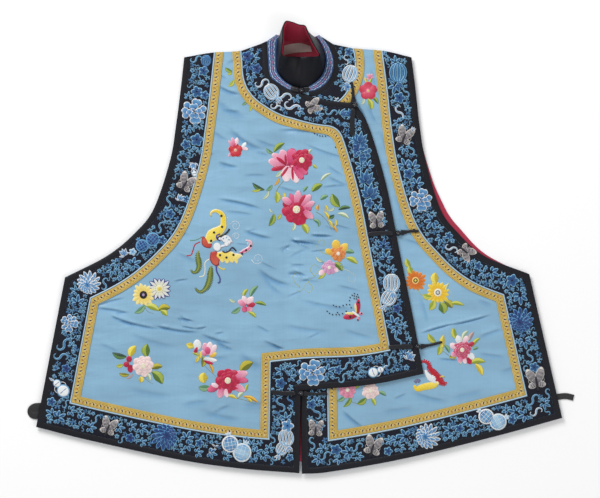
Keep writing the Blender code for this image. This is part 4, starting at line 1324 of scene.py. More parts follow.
# %% Ties
TIE_HALF_WIDTH, TIE_STEP = 4.5, 2.0
TIE_LATTICE = (1.6, 0.9)
TIE_TOP, TIE_WALL = 1.5, 1.0
TIE_DROP, TIE_DROP_REACH = 0.4, 1.2   # how far the folded tie falls at its edge
TIE_RIGHT = ((383.1, -225.3), (397, -223.5), (409.5, -226))
TIE_LEFT = ((-389.3, -233.6), (-400.5, -234.6), (-408, -239.5), (-410.5, -246.5),
            (-408.5, -253), (-403, -257.3), (-393.6, -258.0))
TIE_SECTION = [(0, 0), (0, 0.8), (0.08, 1.0), (0.2, 0.8), (0.5, 0.95), (0.8, 0.8),
               (0.92, 1.0), (1, 0.8), (1, 0)]
TIE_GROOVE = (-390, -246.5, -403, -246.5, 2.2, -0.5)   # between the arms of the folded tie
line = smooth(TIE_RIGHT, TIE_STEP)
normal = TIE_HALF_WIDTH * sideways(line)
ruled_strip("tie_right_ribbon", line + normal, line - normal, TIE_SECTION, level(0),
            tie_ribbon, "tie", "tie_right", step=TIE_STEP)


def folded_tie(points):
    """Height of the folded tie: its two arms meet in a shallow groove."""
    return (TIE_TOP + crease(points, *TIE_GROOVE)
            - TIE_DROP * np.exp(-from_line(points, tie_edge) / TIE_DROP_REACH))


tie_edge = smooth(TIE_LEFT, TIE_STEP)
tie_edge = np.vstack([tie_edge, np.linspace(tie_edge[-1], tie_edge[0], 12)[1:-1]])
cloth_piece("tie_left_ribbon", tie_edge, lattice(tie_edge, *TIE_LATTICE), folded_tie,
            TIE_WALL, tie_ribbon, "tie", "tie_left")
print("pieces so far:", len(HOLD))

# %% [markdown]
# ## Embroidery
# Every motif is satin stitch: floss laid side by side over a slightly padded shape, petal by
# petal, with paler floss along its edge. Each petal is therefore a low closed pad with a
# domed back, narrow at its ends, that follows the cloth below. Stems and tendrils are the
# same pad, long and thin. A flower is a ring of such pads, and all the stitching of one
# ground is joined into one mesh, coloured at its corners. A painted picture of the flowers
# would be lighter to hold, but it would lie flat and could not be re-drawn or resized.

# %% One padded stitch shape, and the mesh that gathers them
ROWS = {"ground": np.array([0, 0.06, 0.2, 0.4, 0.6, 0.8, 0.94, 1.0]),
        "border": np.array([0, 0.1, 0.34, 0.6, 0.86, 1.0])}
EDGE_FLOSS = {"ground": 0.5, "border": 0.95}   # width of the paler floss along an edge
PAD_DOME = np.array([0.0, 0.72, 1.0, 0.72, 0.0])   # rise across a pad, from its left side
ACROSS = len(PAD_DOME)
RIGHT_FACES, RIM_FACES = (0, 1), (0, 3, 4)   # of the faces round a pad
THINNEST = 0.06           # least half width of a pad
ROUND_FROM, LOWEST = 1.2, 0.35   # half width of a pad of full height, and least share of it
SHOULDERS = (0.35, 0.9)   # where the edge floss may begin, as shares of the half width
TAPER = 0.6               # how much thinner a stem is at its tip
BLUNT = 0.62              # how full a petal's end is


def floss(*rgb):
    """Thread colour from display values 0 to 255."""
    return tuple((c / 255) ** 2.2 for c in rgb)


def place(x, y, angle, along, aside=0.0):
    """Points so far from one point in a direction, and to the left of it."""
    ahead = heading(angle)
    return (np.array([x, y]) + np.multiply.outer(along, ahead)
            + np.multiply.outer(aside, np.array([-ahead[1], ahead[0]])))


class Needlework:
    """Gathers the padded shapes of one ground, then makes them one mesh."""

    def __init__(self, side, ground, band):
        self.side, self.ground, self.voided = side, ground, band == "border"
        self.rim_width, self.rows = EDGE_FLOSS[band], ROWS[band]
        self.plan, self.lift, self.faces, self.tints, self.uvs = [], [], [], [], []
        self.points = 0

    def pad(self, spine, half, tint, edge=None, height=0.6, base=0.05, across=False):
        """One shape, from points along its middle and half widths.

        The tint is one colour, one for each row, or a pair for its left and right halves.
        """
        spine, half = np.asarray(spine, float), np.maximum(half, THINNEST)
        rows = len(spine)
        shoulder = np.clip(1 - self.rim_width / half, *SHOULDERS)
        one = np.ones(rows)
        v = np.stack([one, shoulder, 0 * one, -shoulder, -one], axis=1) * half[:, None]
        swell = np.clip(half / ROUND_FROM, LOWEST, 1.0)
        self.plan.append((spine[:, None] + sideways(spine)[:, None] * v[..., None])
                         .reshape(-1, 2))
        self.lift.append((PAD_DOME * height * swell[:, None] + base).ravel())
        u = np.concatenate([[0], np.cumsum(np.linalg.norm(np.diff(spine, axis=0), axis=1))])
        halves = tint if isinstance(tint, tuple) and len(tint) == 2 else (tint, tint)
        left, right, rim = (np.broadcast_to(np.asarray(shade, float), (rows, 3))
                            for shade in (*halves, halves[0] if edge is None else edge))
        for r in range(rows - 1):
            end_row = rows > 5 and r == rows - 2
            for c in range(ACROSS):
                n = (c + 1) % ACROSS
                shade = right if c in RIGHT_FACES else left
                if edge is not None and (c in RIM_FACES or end_row):
                    shade = rim
                self.tints += [shade[r], shade[r], shade[r + 1], shade[r + 1]]
                corners = ((u[r], v[r, c]), (u[r], v[r, n]),
                           (u[r + 1], v[r + 1, n]), (u[r + 1], v[r + 1, c]))
                self.uvs += [corner[::-1] for corner in corners] if across else corners
        self.faces += [tuple(self.points + k for k in face)
                       for face in loft_faces(rows, ACROSS)]
        self.points += rows * ACROSS
        self.tints += [left[0]] * ACROSS + [left[-1]] * ACROSS
        self.uvs += [(0, 0)] * (2 * ACROSS)

    def petal(self, x, y, angle, length, width, inner, outer, edge=None, start=0.0,
              bend=0.0, height=0.7, base=0.05, point=False):
        """A petal that grows from a point in a direction given in degrees."""
        t = self.rows
        spine = place(x, y, angle, (start + (1 - start) * t) * length, bend * length * t ** 2)
        shape = (np.sin(math.pi * (0.06 + 0.94 * t ** 0.8)) ** 0.9 if point
                 else np.sin(math.pi * (0.13 + 0.84 * t ** 1.15)) ** BLUNT)
        tints = np.outer(1 - t, inner) + np.outer(t, outer)
        self.pad(spine, width / 2 * shape, tints, edge, height, base)

    def leaf(self, x, y, length, angle, palette, width=0.42, bend=0.12):
        """A leaf in two tones with a vein, from its stem end."""
        dark, light, edge = palette
        t = self.rows
        spine = place(x, y, angle, t * length, bend * length * np.sin(math.pi * t))
        half = width * length / 2 * np.sin(math.pi * (0.04 + 0.94 * t)) ** 0.85
        self.pad(spine, half, (dark, light), edge, 0.55, across=True)
        self.line(spine[1:-1:len(t) // 3], 0.25, edge, 0.3, base=0.5)

    def line(self, points, half, tint, height=0.4, taper=True, base=0.05):
        """A stem or tendril along points."""
        t = np.linspace(0, 1, len(points))
        self.pad(points, half * (1 - TAPER * taper * t), tint, None, height, base)

    def disc(self, x, y, radius, inner, outer, edge=None, height=0.7, base=0.05, angle=90.0):
        """A round pad."""
        t = -np.cos(math.pi * np.linspace(0.03, 0.97, 9))
        far = np.abs(t)
        self.pad(place(x, y, angle, t * radius), radius * np.sqrt(1 - t ** 2),
                 np.outer(1 - far, inner) + np.outer(far, outer), edge, height, base)

    def dot(self, x, y, radius, tint, height, base):
        """A round pad of one colour."""
        self.disc(x, y, radius, tint, tint, None, height, base)

    def curl(self, x, y, size, angle, hand, tint, half=0.55, turns=1.1):
        """A spiral tendril that starts at a point and coils in."""
        t = np.linspace(0, 1, 15)
        way = math.radians(angle) + hand * math.tau * turns * t
        radius = size * (1 - 0.8 * t)
        self.line(place(x, y, angle, -size)
                  + np.column_stack([radius * np.cos(way), radius * np.sin(way)]), half, tint)

    def piece(self, name, material):
        """The gathered shapes as one closed mesh that lies on the cloth."""
        plan = np.vstack(self.plan)
        height = front_height(self.side, plan) + self.ground + np.concatenate(self.lift)
        piece = finish_piece(name, np.column_stack([plan, height]), self.faces, self.uvs,
                             material, None)
        tint = piece.data.color_attributes.new("floss", "BYTE_COLOR", "CORNER")
        colours = np.column_stack([np.array(self.tints), np.ones(len(self.tints))])
        tint.data.foreach_set("color", colours.astype(np.float32).ravel())
        print(name, "shapes:", len(self.plan), "triangles:",
              sum(len(p.vertices) - 2 for p in piece.data.polygons))


# %% [markdown]
# ## Motifs
# Flowers, fruit and insects of this kind are drawn from a small stock, so each is a function
# of place, size, angle and a palette of three flosses: heart, tip and edge.

# %% The stock of motifs: flowers
def lobe(work, x, y, length, angle, width, palette, base=0.05):
    """A broad petal of the border: pale edge, mid body, and a dark vein."""
    work.petal(x, y, angle, length, width, *palette, 0.1, 0.0, 0.6, base)
    vein = place(x, y, angle, np.array([0.25, 0.7]) * length)
    work.line(vein, 0.32, palette[0], 0.3, False, base + 0.45)


def blossom(work, x, y, r, angle, palette):
    """A small open flower, with a dotted heart on the light ground."""
    for turn in range(0, 360, 72):
        if work.voided:
            lobe(work, x, y, r, angle + turn, r * 0.86, palette)
        else:
            work.petal(x, y, angle + turn, r, r * 1.04, *palette, 0.1)
    if not work.voided:
        work.dot(x, y, r * 0.24, palette[2], 0.5, 0.5)
        work.dot(x, y, r * 0.12, STAMEN, 0.4, 0.9)


SCALLOP_ROWS = (
    # lobes, distance from the middle, length, width, height that they start at
    (9, 0.46, 0.6, 0.6, 0.05), (6, 0.16, 0.5, 0.52, 0.3), (3, 0.02, 0.3, 0.34, 0.55),
)
PEONY_ROWS = (
    # petals, reach, twist, bare share at the foot, width, height that they start at
    (8, 1.0, 0, 0.42, 0.95, 0.05), (7, 0.74, 22, 0.3, 0.95, 0.35),
    (5, 0.50, 0, 0.1, 0.85, 0.7),
)


def peony(work, x, y, r, angle, palette):
    """A full flower: rows of broad petals round a heart, or scallops on the border."""
    if work.voided:
        for count, far, reach, wide, base in SCALLOP_ROWS:
            for k in range(count):
                turn = angle + 360 * k / count + 30 * far + 10 * math.sin(2.3 * k)
                foot = place(x, y, turn, r * (far + 0.06 * math.sin(3.1 * k)))
                lobe(work, *foot, r * reach, turn, r * wide, palette, base)
        return
    for count, share, twist, start, wide, base in PEONY_ROWS:
        for k in range(count):
            work.petal(x, y, angle + twist + 360 * k / count,
                       r * share * (1 + 0.06 * math.sin(2.4 * k)),
                       r * share * wide * math.tau / count, *palette, start,
                       0.05 * (-1) ** k, 0.7, base)
    work.dot(x, y, r * 0.26, IVORY_FLOSS, 0.5, 1.1)
    for turn in range(0, 360, 72):
        work.dot(*place(x, y, angle + turn, r * 0.13), r * 0.05, STAMEN, 0.4, 1.4)


CHRYSANTHEMUM_ROWS = (
    # petals, reach, bare share at the foot, height that they start at
    (15, 1.0, 0.5, 0.05), (12, 0.74, 0.3, 0.3), (8, 0.46, 0.05, 0.6),
)


def chrysanthemum(work, x, y, r, angle, palette):
    """Rows of narrow petals, longer to one side."""
    x, y = place(x, y, angle, -0.2 * r)
    for count, reach, start, base in CHRYSANTHEMUM_ROWS:
        for k in range(count):
            turn = 360 * k / count
            work.petal(x, y, angle + turn,
                       r * reach * (1 + 0.28 * math.cos(math.radians(turn))),
                       5.2 * r * reach / count, *palette, start, 0.12, 0.6, base)


DAISY_PETALS = 14
DAISY_EYE = ((0.36, 0.35), (0.22, 0.6), (0.13, 0.8))   # radius, height it starts at


def daisy(work, x, y, r, angle, palette, eye=None):
    """One row of narrow petals round a dark ringed eye."""
    for k in range(DAISY_PETALS):
        work.petal(x, y, angle + 360 * k / DAISY_PETALS, r * (1 + 0.1 * math.sin(1.7 * k)),
                   r * 0.42, *palette, 0.25, 0.05, 0.5)
    for (share, base), tint in zip(DAISY_EYE, eye or (INK, STAMEN, INK)):
        work.dot(x, y, r * share, tint, 0.4, base)


LOTUS_PETALS = (
    # turn, reach, height that it starts at
    (-105, 0.8, 0.05), (105, 0.8, 0.05), (-72, 1.1, 0.15), (72, 1.1, 0.15),
    (-38, 1.35, 0.3), (38, 1.35, 0.3), (0, 1.45, 0.45), (-18, 0.95, 0.6), (18, 0.95, 0.6),
)


def lotus(work, x, y, r, angle, palette):
    """Pointed petals that fan out from the stem end."""
    x, y = place(x, y, angle, -0.45 * r)
    for turn, reach, base in LOTUS_PETALS:
        work.petal(x, y, angle + turn, r * reach * 1.1, r * 0.66, *palette, 0.05,
                   -0.10 * np.sign(turn), 0.6, base, point=True)


def bud(work, x, y, r, angle, palette):
    """Three closed petals and a cup."""
    for turn, base in ((-28, 0.05), (28, 0.05), (0, 0.25)):
        work.petal(x, y, angle + turn, r * 1.5, r * 0.85, *palette, height=0.6, base=base,
                   point=True)
    for turn in (-75, 75):
        work.leaf(x, y, r * 1.1, angle + turn, palette)


# %% The stock of motifs: fruit and a butterfly
def melon(work, x, y, r, angle, palette):
    """A ribbed fruit: curved pads from stem to tip, with a leaf at the stem."""
    t = np.linspace(0, 1, 9)
    for k in (-2, 2, -1, 1, 0):
        rib = place(x, y, angle, -np.cos(math.pi * t) * r, 0.4 * k * r * np.sin(math.pi * t))
        work.pad(rib, 0.165 * r * np.sin(math.pi * (0.1 + 0.8 * t)) ** 0.8, *palette[1:])
    for turn in (150, 180, 210):
        work.leaf(*place(x, y, angle, -r), r * 0.9, angle + turn, palette)


def ringed(work, x, y, r, palette, angle):
    """A round pad with a clear ring of paler floss."""
    heart, tip, edge = palette
    work.disc(x, y, r, edge, edge, None, 0.55, angle=angle)
    work.disc(x, y, r * 0.84, tip, heart, None, 0.5, 0.35, angle)


def pomegranate(work, x, y, r, angle, palette):
    """A round fruit crossed by a lattice of stitches, with a crown."""
    _, tip, edge = palette
    ringed(work, x, y, r, palette, angle)
    for k in (-0.6, -0.2, 0.2, 0.6):
        reach = 0.76 * r * math.sqrt(1 - k * k)
        for turn in (0, 90):
            bar = place(x, y, angle + turn, np.linspace(-reach, reach, 3), k * r)
            work.line(bar, 0.32, edge, 0.3, False, 0.8)
    for turn in (-35, 0, 35):
        work.petal(*place(x, y, angle, r * 0.9), angle + turn, r * 0.6, r * 0.34, tip, edge,
                   edge, point=True)


GOURD_BULBS = ((-0.42, 0.72, 0.42), (0.62, 0.46, 0.26))   # place, radius, half its band


def gourd(work, x, y, r, angle, palette):
    """A bottle gourd with a waist, tied with a ribbon."""
    heart, tip, edge = palette
    for away, size, _ in GOURD_BULBS:
        ringed(work, *place(x, y, angle, r * away), r * size, (edge, edge, tip), angle)
    for away, _, reach in GOURD_BULBS:
        band = place(x, y, angle, away * r, np.array([-1, 0, 1]) * r * reach)
        work.line(band, 0.5, heart, 0.3, False, 0.8)
    for hand in (-1, 1):
        work.curl(*place(x, y, angle, 0.0, -0.3 * hand * r), r * 0.6,
                  angle + 90 * hand + 180, hand, edge, 0.6)
    work.leaf(*place(x, y, angle, r), r * 0.7, angle + 20, palette)


WINGS = ((32, 1.5, 0.8), (-32, 1.5, 0.8), (112, 0.8, 0.6), (-112, 0.8, 0.6))
WING_BARS = (0.3, 0.42, 0.54, 0.66, 0.78)   # shares of a wing's length


def butterfly(work, x, y, r, angle, palette):
    """Two long and two short wings with barred stitches, a body and two feelers."""
    edge = palette[2]
    for turn, reach, wide in WINGS:
        work.petal(x, y, angle + turn, r * reach, r * wide, *palette, 0.08,
                   -0.1 * np.sign(turn), 0.7)
        for k, share in enumerate(WING_BARS):
            bar = place(x, y, angle + turn, r * reach * share,
                        np.array([-0.3, 0.3]) * r * wide * (0.6 + 0.4 * share))
            work.line(bar, 0.34, INK if k % 2 else edge, 0.3, False, 0.65)
    body = place(x, y, angle, np.linspace(-0.7, 0.55, 6) * r)
    work.line(body, r * 0.11, INK, 0.8, False, 0.5)
    for hand in (-1, 1):
        work.curl(*place(x, y, angle, r * 0.5), r * 0.5, angle - 70 * hand, -hand, edge,
                  0.4, 0.8)


# %% The stock of motifs: leaves and ribbons
def sprig(work, x, y, length, angle, palette):
    """A stem with pairs of small leaves and a tip."""
    t = np.linspace(0, 1, 6)
    stem = place(x, y, angle, t * length, 0.12 * length * np.sin(5 * t))
    work.line(stem, 0.5, palette[2])
    for k in (1, 3, 5):
        for hand in (-1, 1):
            lobe(work, *stem[k], length * 0.36, angle + 55 * hand, length * 0.2, palette)


LEAF_FAN = ((-104, 0.95), (104, 0.95), (-46, 1.35), (4, 1.6), (54, 1.35))   # turn, reach


def leaves(work, x, y, r, angle, palette):
    """Broad leaves that spread from one stem, parted by bare silk."""
    x, y = place(x, y, angle, -0.6 * r)
    for turn, reach in LEAF_FAN:
        lobe(work, *place(x, y, angle + turn, 0.16 * r), r * reach * 0.86, angle + turn,
             r * 0.62, palette)


def scroll(work, x, y, r, angle, palette):
    """An S of ribbon with a coil at both ends."""
    t = np.linspace(-1, 1, 25)
    coil = 1.0 - 0.72 * np.abs(t) ** 1.5
    turn = t * 3.9
    line = place(x, y, angle, r * 1.2 * np.sign(t) * 0.62 * (1 - coil * np.cos(turn)),
                 r * 0.75 * coil * np.sin(turn))
    work.pad(line, r * 0.15 * (1.4 - np.abs(t)), *palette[1:], 0.55)


MOTIFS = {motif.__name__: motif for motif in (
    blossom, peony, chrysanthemum, daisy, lotus, bud, melon, pomegranate, gourd, butterfly,
    sprig, leaves, scroll)}
print("stock of motifs:", len(MOTIFS))

# %% [markdown]
# ## Colours and places of the motifs
# The dark border is worked in blues and white only; the light ground in many colours, with
# sprays of peony and daisy, and one great butterfly. The places are measured from the two
# centre lines, so a spray can be moved or left out by changing one row.

# %% Flosses
FLOSSES = {
    # red, green and blue from 0 to 255 of the heart, the tip and the edge
    "crimson": (158, 14, 50, 204, 28, 76, 222, 84, 122),
    "rose": (196, 40, 95, 232, 110, 150, 205, 60, 110),
    "pink": (214, 90, 135, 244, 180, 202, 250, 215, 225),
    "pinkish": (205, 90, 130, 240, 160, 185, 248, 205, 215),
    "blush": (240, 180, 198, 250, 232, 236, 252, 244, 246),
    "blushfull": (236, 196, 186, 248, 226, 226, 250, 242, 240),
    "white": (215, 224, 226, 246, 248, 248, 252, 252, 252),
    "red": (214, 70, 76, 196, 26, 48, 236, 180, 170),
    "redpink": (222, 92, 118, 198, 26, 60, 238, 140, 165),
    "yellow": (235, 170, 70, 245, 212, 80, 250, 230, 130),
    "orange": (205, 80, 40, 236, 150, 80, 240, 175, 90),
    "lilac": (190, 110, 165, 224, 172, 208, 240, 220, 232),
    "rimmed": (176, 26, 64, 214, 92, 128, 250, 232, 238),
    "flame": (200, 74, 40, 238, 156, 84, 248, 222, 104),
    "yellowday": (238, 204, 92, 246, 231, 150, 252, 248, 225),
    "yellowday2": (235, 180, 40, 246, 215, 60, 250, 240, 190),
    "orangeday": (205, 95, 25, 232, 135, 45, 244, 190, 110),
    "blueday": (236, 232, 190, 214, 222, 236, 52, 50, 140),
    "green": (86, 118, 44, 160, 178, 70, 112, 138, 56),
    "lime": (150, 165, 48, 206, 208, 92, 172, 182, 66),
    "olive": (112, 118, 34, 190, 180, 56, 140, 140, 44),
    "dark": (30, 66, 50, 92, 132, 72, 48, 84, 56),
    "sage": (84, 134, 100, 140, 180, 134, 104, 150, 112),
    "mist": (158, 186, 150, 222, 230, 200, 190, 208, 172),
    "yellowleaf": (205, 182, 50, 240, 222, 96, 222, 202, 70),
    "amber": (200, 140, 34, 240, 190, 70, 220, 165, 50),
    "pinkleaf": (160, 140, 150, 210, 180, 170, 180, 160, 150),
    "gold": (240, 205, 36, 246, 222, 92, 250, 240, 190),
    "pale": (105, 165, 215, 170, 208, 232, 225, 236, 242),
    "hook": (196, 40, 105, 246, 190, 210, 250, 225, 232),
    "brick": (196, 60, 52, 206, 104, 80, 170, 46, 46),
    "plume": (110, 130, 44, 74, 104, 34, 150, 160, 70),
    "scarlet": (205, 28, 55, 176, 16, 40, 220, 70, 84),
    "snow": (246, 248, 248, 226, 232, 240, 205, 215, 232),
    "butter": (242, 212, 80, 248, 232, 140, 253, 246, 225),
    "blue": (16, 58, 108, 42, 102, 156, 146, 205, 236),
    "whiteline": (44, 104, 164, 112, 168, 210, 242, 245, 246),
    "deep": (16, 44, 98, 30, 74, 136, 100, 164, 212),
    "hatch": (104, 100, 108, 160, 155, 156, 222, 217, 210),
    # and of the three rings of a daisy's eye
    "eye of yellowday": (22, 20, 30, 24, 20, 30, 176, 150, 190),
    "eye of yellowday2": (250, 244, 214, 120, 130, 150, 214, 214, 196),
    "eye of orangeday": (250, 205, 120, 22, 20, 30, 240, 215, 70),
    "eye of blueday": (240, 236, 205, 242, 222, 120, 228, 200, 70),
}
THREADS = {
    "red": (190, 26, 60), "leafthread": (96, 150, 110), "ivory": (238, 236, 214),
    "violet": (72, 66, 160), "yellowthread": (232, 212, 96), "black": (22, 20, 30),
    "white": (240, 242, 244), "sky": (120, 170, 214), "lime": (190, 196, 80),
    "olive": (140, 140, 50), "amber": (228, 176, 54), "mist": (206, 218, 190),
    "violetgrey": (120, 120, 160),
}
PALETTES = {name: tuple(floss(*row[k:k + 3]) for k in (0, 3, 6))
            for name, row in FLOSSES.items()}
THREADS = {name: floss(*row) for name, row in THREADS.items()}
INK, STAMEN, IVORY_FLOSS = THREADS["black"], floss(232, 205, 110), floss(238, 234, 214)

# %% Places on the light ground
GROUND_PETALS = {
    # palette: foot x, y, tip x, y, width, height it starts at
    "left": {
        "pink": (
            (-20.5, 123.5, -29, 146, 16, 0), (-20.5, 123.5, -48.5, 129.5, 16, 0),
            (-20.5, 123.5, -43, 140, 13.5, 0), (-5.5, 63.5, -3.5, 85, 12, 0.6),
            (0.5, 62, 14.5, 78.5, 12, 0.6), (3.5, 59, 20.5, 68, 10.5, 0.6),
            (5, 54.5, 18.5, 43, 10.5, 0.5), (-14.5, 65, -27.5, 74, 10.5, 0.6),
            (-99.5, 152, -103, 164.5, 7, 0), (-101.5, 150.5, -108.5, 160, 5, 0),
            (-104.5, 141.5, -108.5, 135.5, 4, 0), (-139, -161.5, -144.5, -143.5, 12, 0),
            (-142, -161.5, -149, -155.5, 9, 0), (-101.5, -194.5, -80, -188, 13.5, 0),
            (-103, -206.5, -83.5, -215.5, 12, 0), (-118, -211, -122.5, -226, 12, 0),
            (-82, -86.5, -94, -80.5, 10.5, 0), (-80.5, -89.5, -73, -95.5, 9, 0),
            (89, -101.5, 92, -97.5, 5.5, 0.1), (87.5, -104.5, 85, -110, 5.5, 0.1)),
        "rose": (
            (-17.5, 125, -11.5, 148, 19.5, 0), (-16, 122, 3.5, 102.5, 15, 0),
            (-7, 122, 10, 110, 13.5, 0), (-11.5, 63.5, -15.5, 80.5, 9, 0.4),
            (6.5, 60.5, 15.5, 56.5, 7.5, 0.55), (-139, -160, -140, -149.5, 9, 0.4),
            (-100, -197.5, -79, -200.5, 10.5, 0), (-124, -208, -140, -215, 12, 0),
            (-82, -89.5, -86.5, -97, 9, 0)),
        "crimson": (
            (-22, 122, -44.5, 116, 9, 0), (-22, 123.5, -37, 135.5, 6, 0.3),
            (-19, 120.5, -29.5, 105.5, 5, 0.3), (-13, 120.5, -11.5, 99.5, 4.5, 0.3),
            (-22, 125, -23.5, 140, 4.5, 0.3), (-2.5, 62, 6.5, 78.5, 9, 0.6),
            (-1, 50, 3.5, 34, 13.5, 0.2), (-257.5, -172, -257.5, -163, 9, 0),
            (-257.5, -175, -266, -176.5, 9, 0), (-256, -176.5, -255.5, -188, 9, 0),
            (-158.5, -157, -155, -149.5, 4.5, 0.4), (-155.5, -154, -160, -158, 6, 0),
            (-145, -170.5, -131.5, -175, 5.5, 0.2), (-107.5, -203.5, -94, -212.5, 12, 0),
            (-80.5, -88, -68.5, -85, 9, 0), (85, -99.5, 86.5, -77.5, 7.5, 0.1),
            (83.5, -101.5, 63.5, -105.5, 10, 0.1)),
        "blush": (
            (-20.5, 122, -22, 98, 16, 0), (-14.5, 122, -5.5, 96.5, 16, 0),
            (-98, 152, -95, 164.5, 7, 0), (-88, 149, -79, 146.5, 6, 0),
            (-139, -161.5, -135.5, -142, 12, 0.1), (-137.5, -161.5, -127, -146.5, 10.5, 0.1),
            (-124, -209.5, -134, -205, 7.5, 0.2), (-112, -212.5, -110.5, -225.5, 9, 0.1),
            (35, -35.5, 27.5, -41.5, 9, 0), (50, -31, 56, -37, 7.5, 0),
            (-82, -85, -86.5, -73, 9, 0), (-80.5, -85, -71.5, -74.5, 10, 0)),
        "white": (
            (-88, 149.5, -82, 157, 6, 0), (-155, -154, -155.5, -138.5, 13, 0),
            (-146, -167.5, -125.5, -170, 7, 0), (88, -104.5, 77, -96, 4, 0.6)),
        "yellow": (
            (-137, -163, -126.5, -158.5, 9, 0), (54.5, -4, 51.5, 11, 13.5, 0),
            (60.5, -5.5, 69.5, 5, 12, 0), (47, -8.5, 36.5, -4, 9, 0)),
        "yellowday": ((83, -98, 81.5, -84, 4, 0.3), (80.5, -99.5, 66, -99, 4.5, 0.3)),
        "butter": (
            (-118, -14, -117.5, -23, 7.5, 0), (-111.5, -15.5, -110, -24.5, 7.5, 0),
            (-104.5, -15.5, -102.5, -23.5, 7, 0), (-98.5, -14.5, -95.5, -24.5, 6, 0)),
        "red": (
            (-86.5, 251, -83, 255.5, 3.5, 0), (-73, 225.5, -68.5, 229, 3.5, 0),
            (-57.5, 211.5, -52, 214, 3.5, 0)),
    },
    "right": {
        "white": ((239, -145, 234.5, -132.5, 10.5, 0), (251, -160, 260, -167.5, 10.5, 0)),
        "blush": (
            (245, -143.5, 249.5, -133, 9, 0), (233, -151, 224, -145, 10, 0),
            (246.5, -166, 246.5, -175, 7.5, 0)),
        "pink": ((233, -158.5, 225.5, -163, 9, 0), (240.5, -164.5, 237.5, -173.5, 9, 0)),
        "crimson": ((249.5, -166, 255.5, -175, 9, 0), (251, -148, 260.5, -143, 7.5, 0)),
    },
}
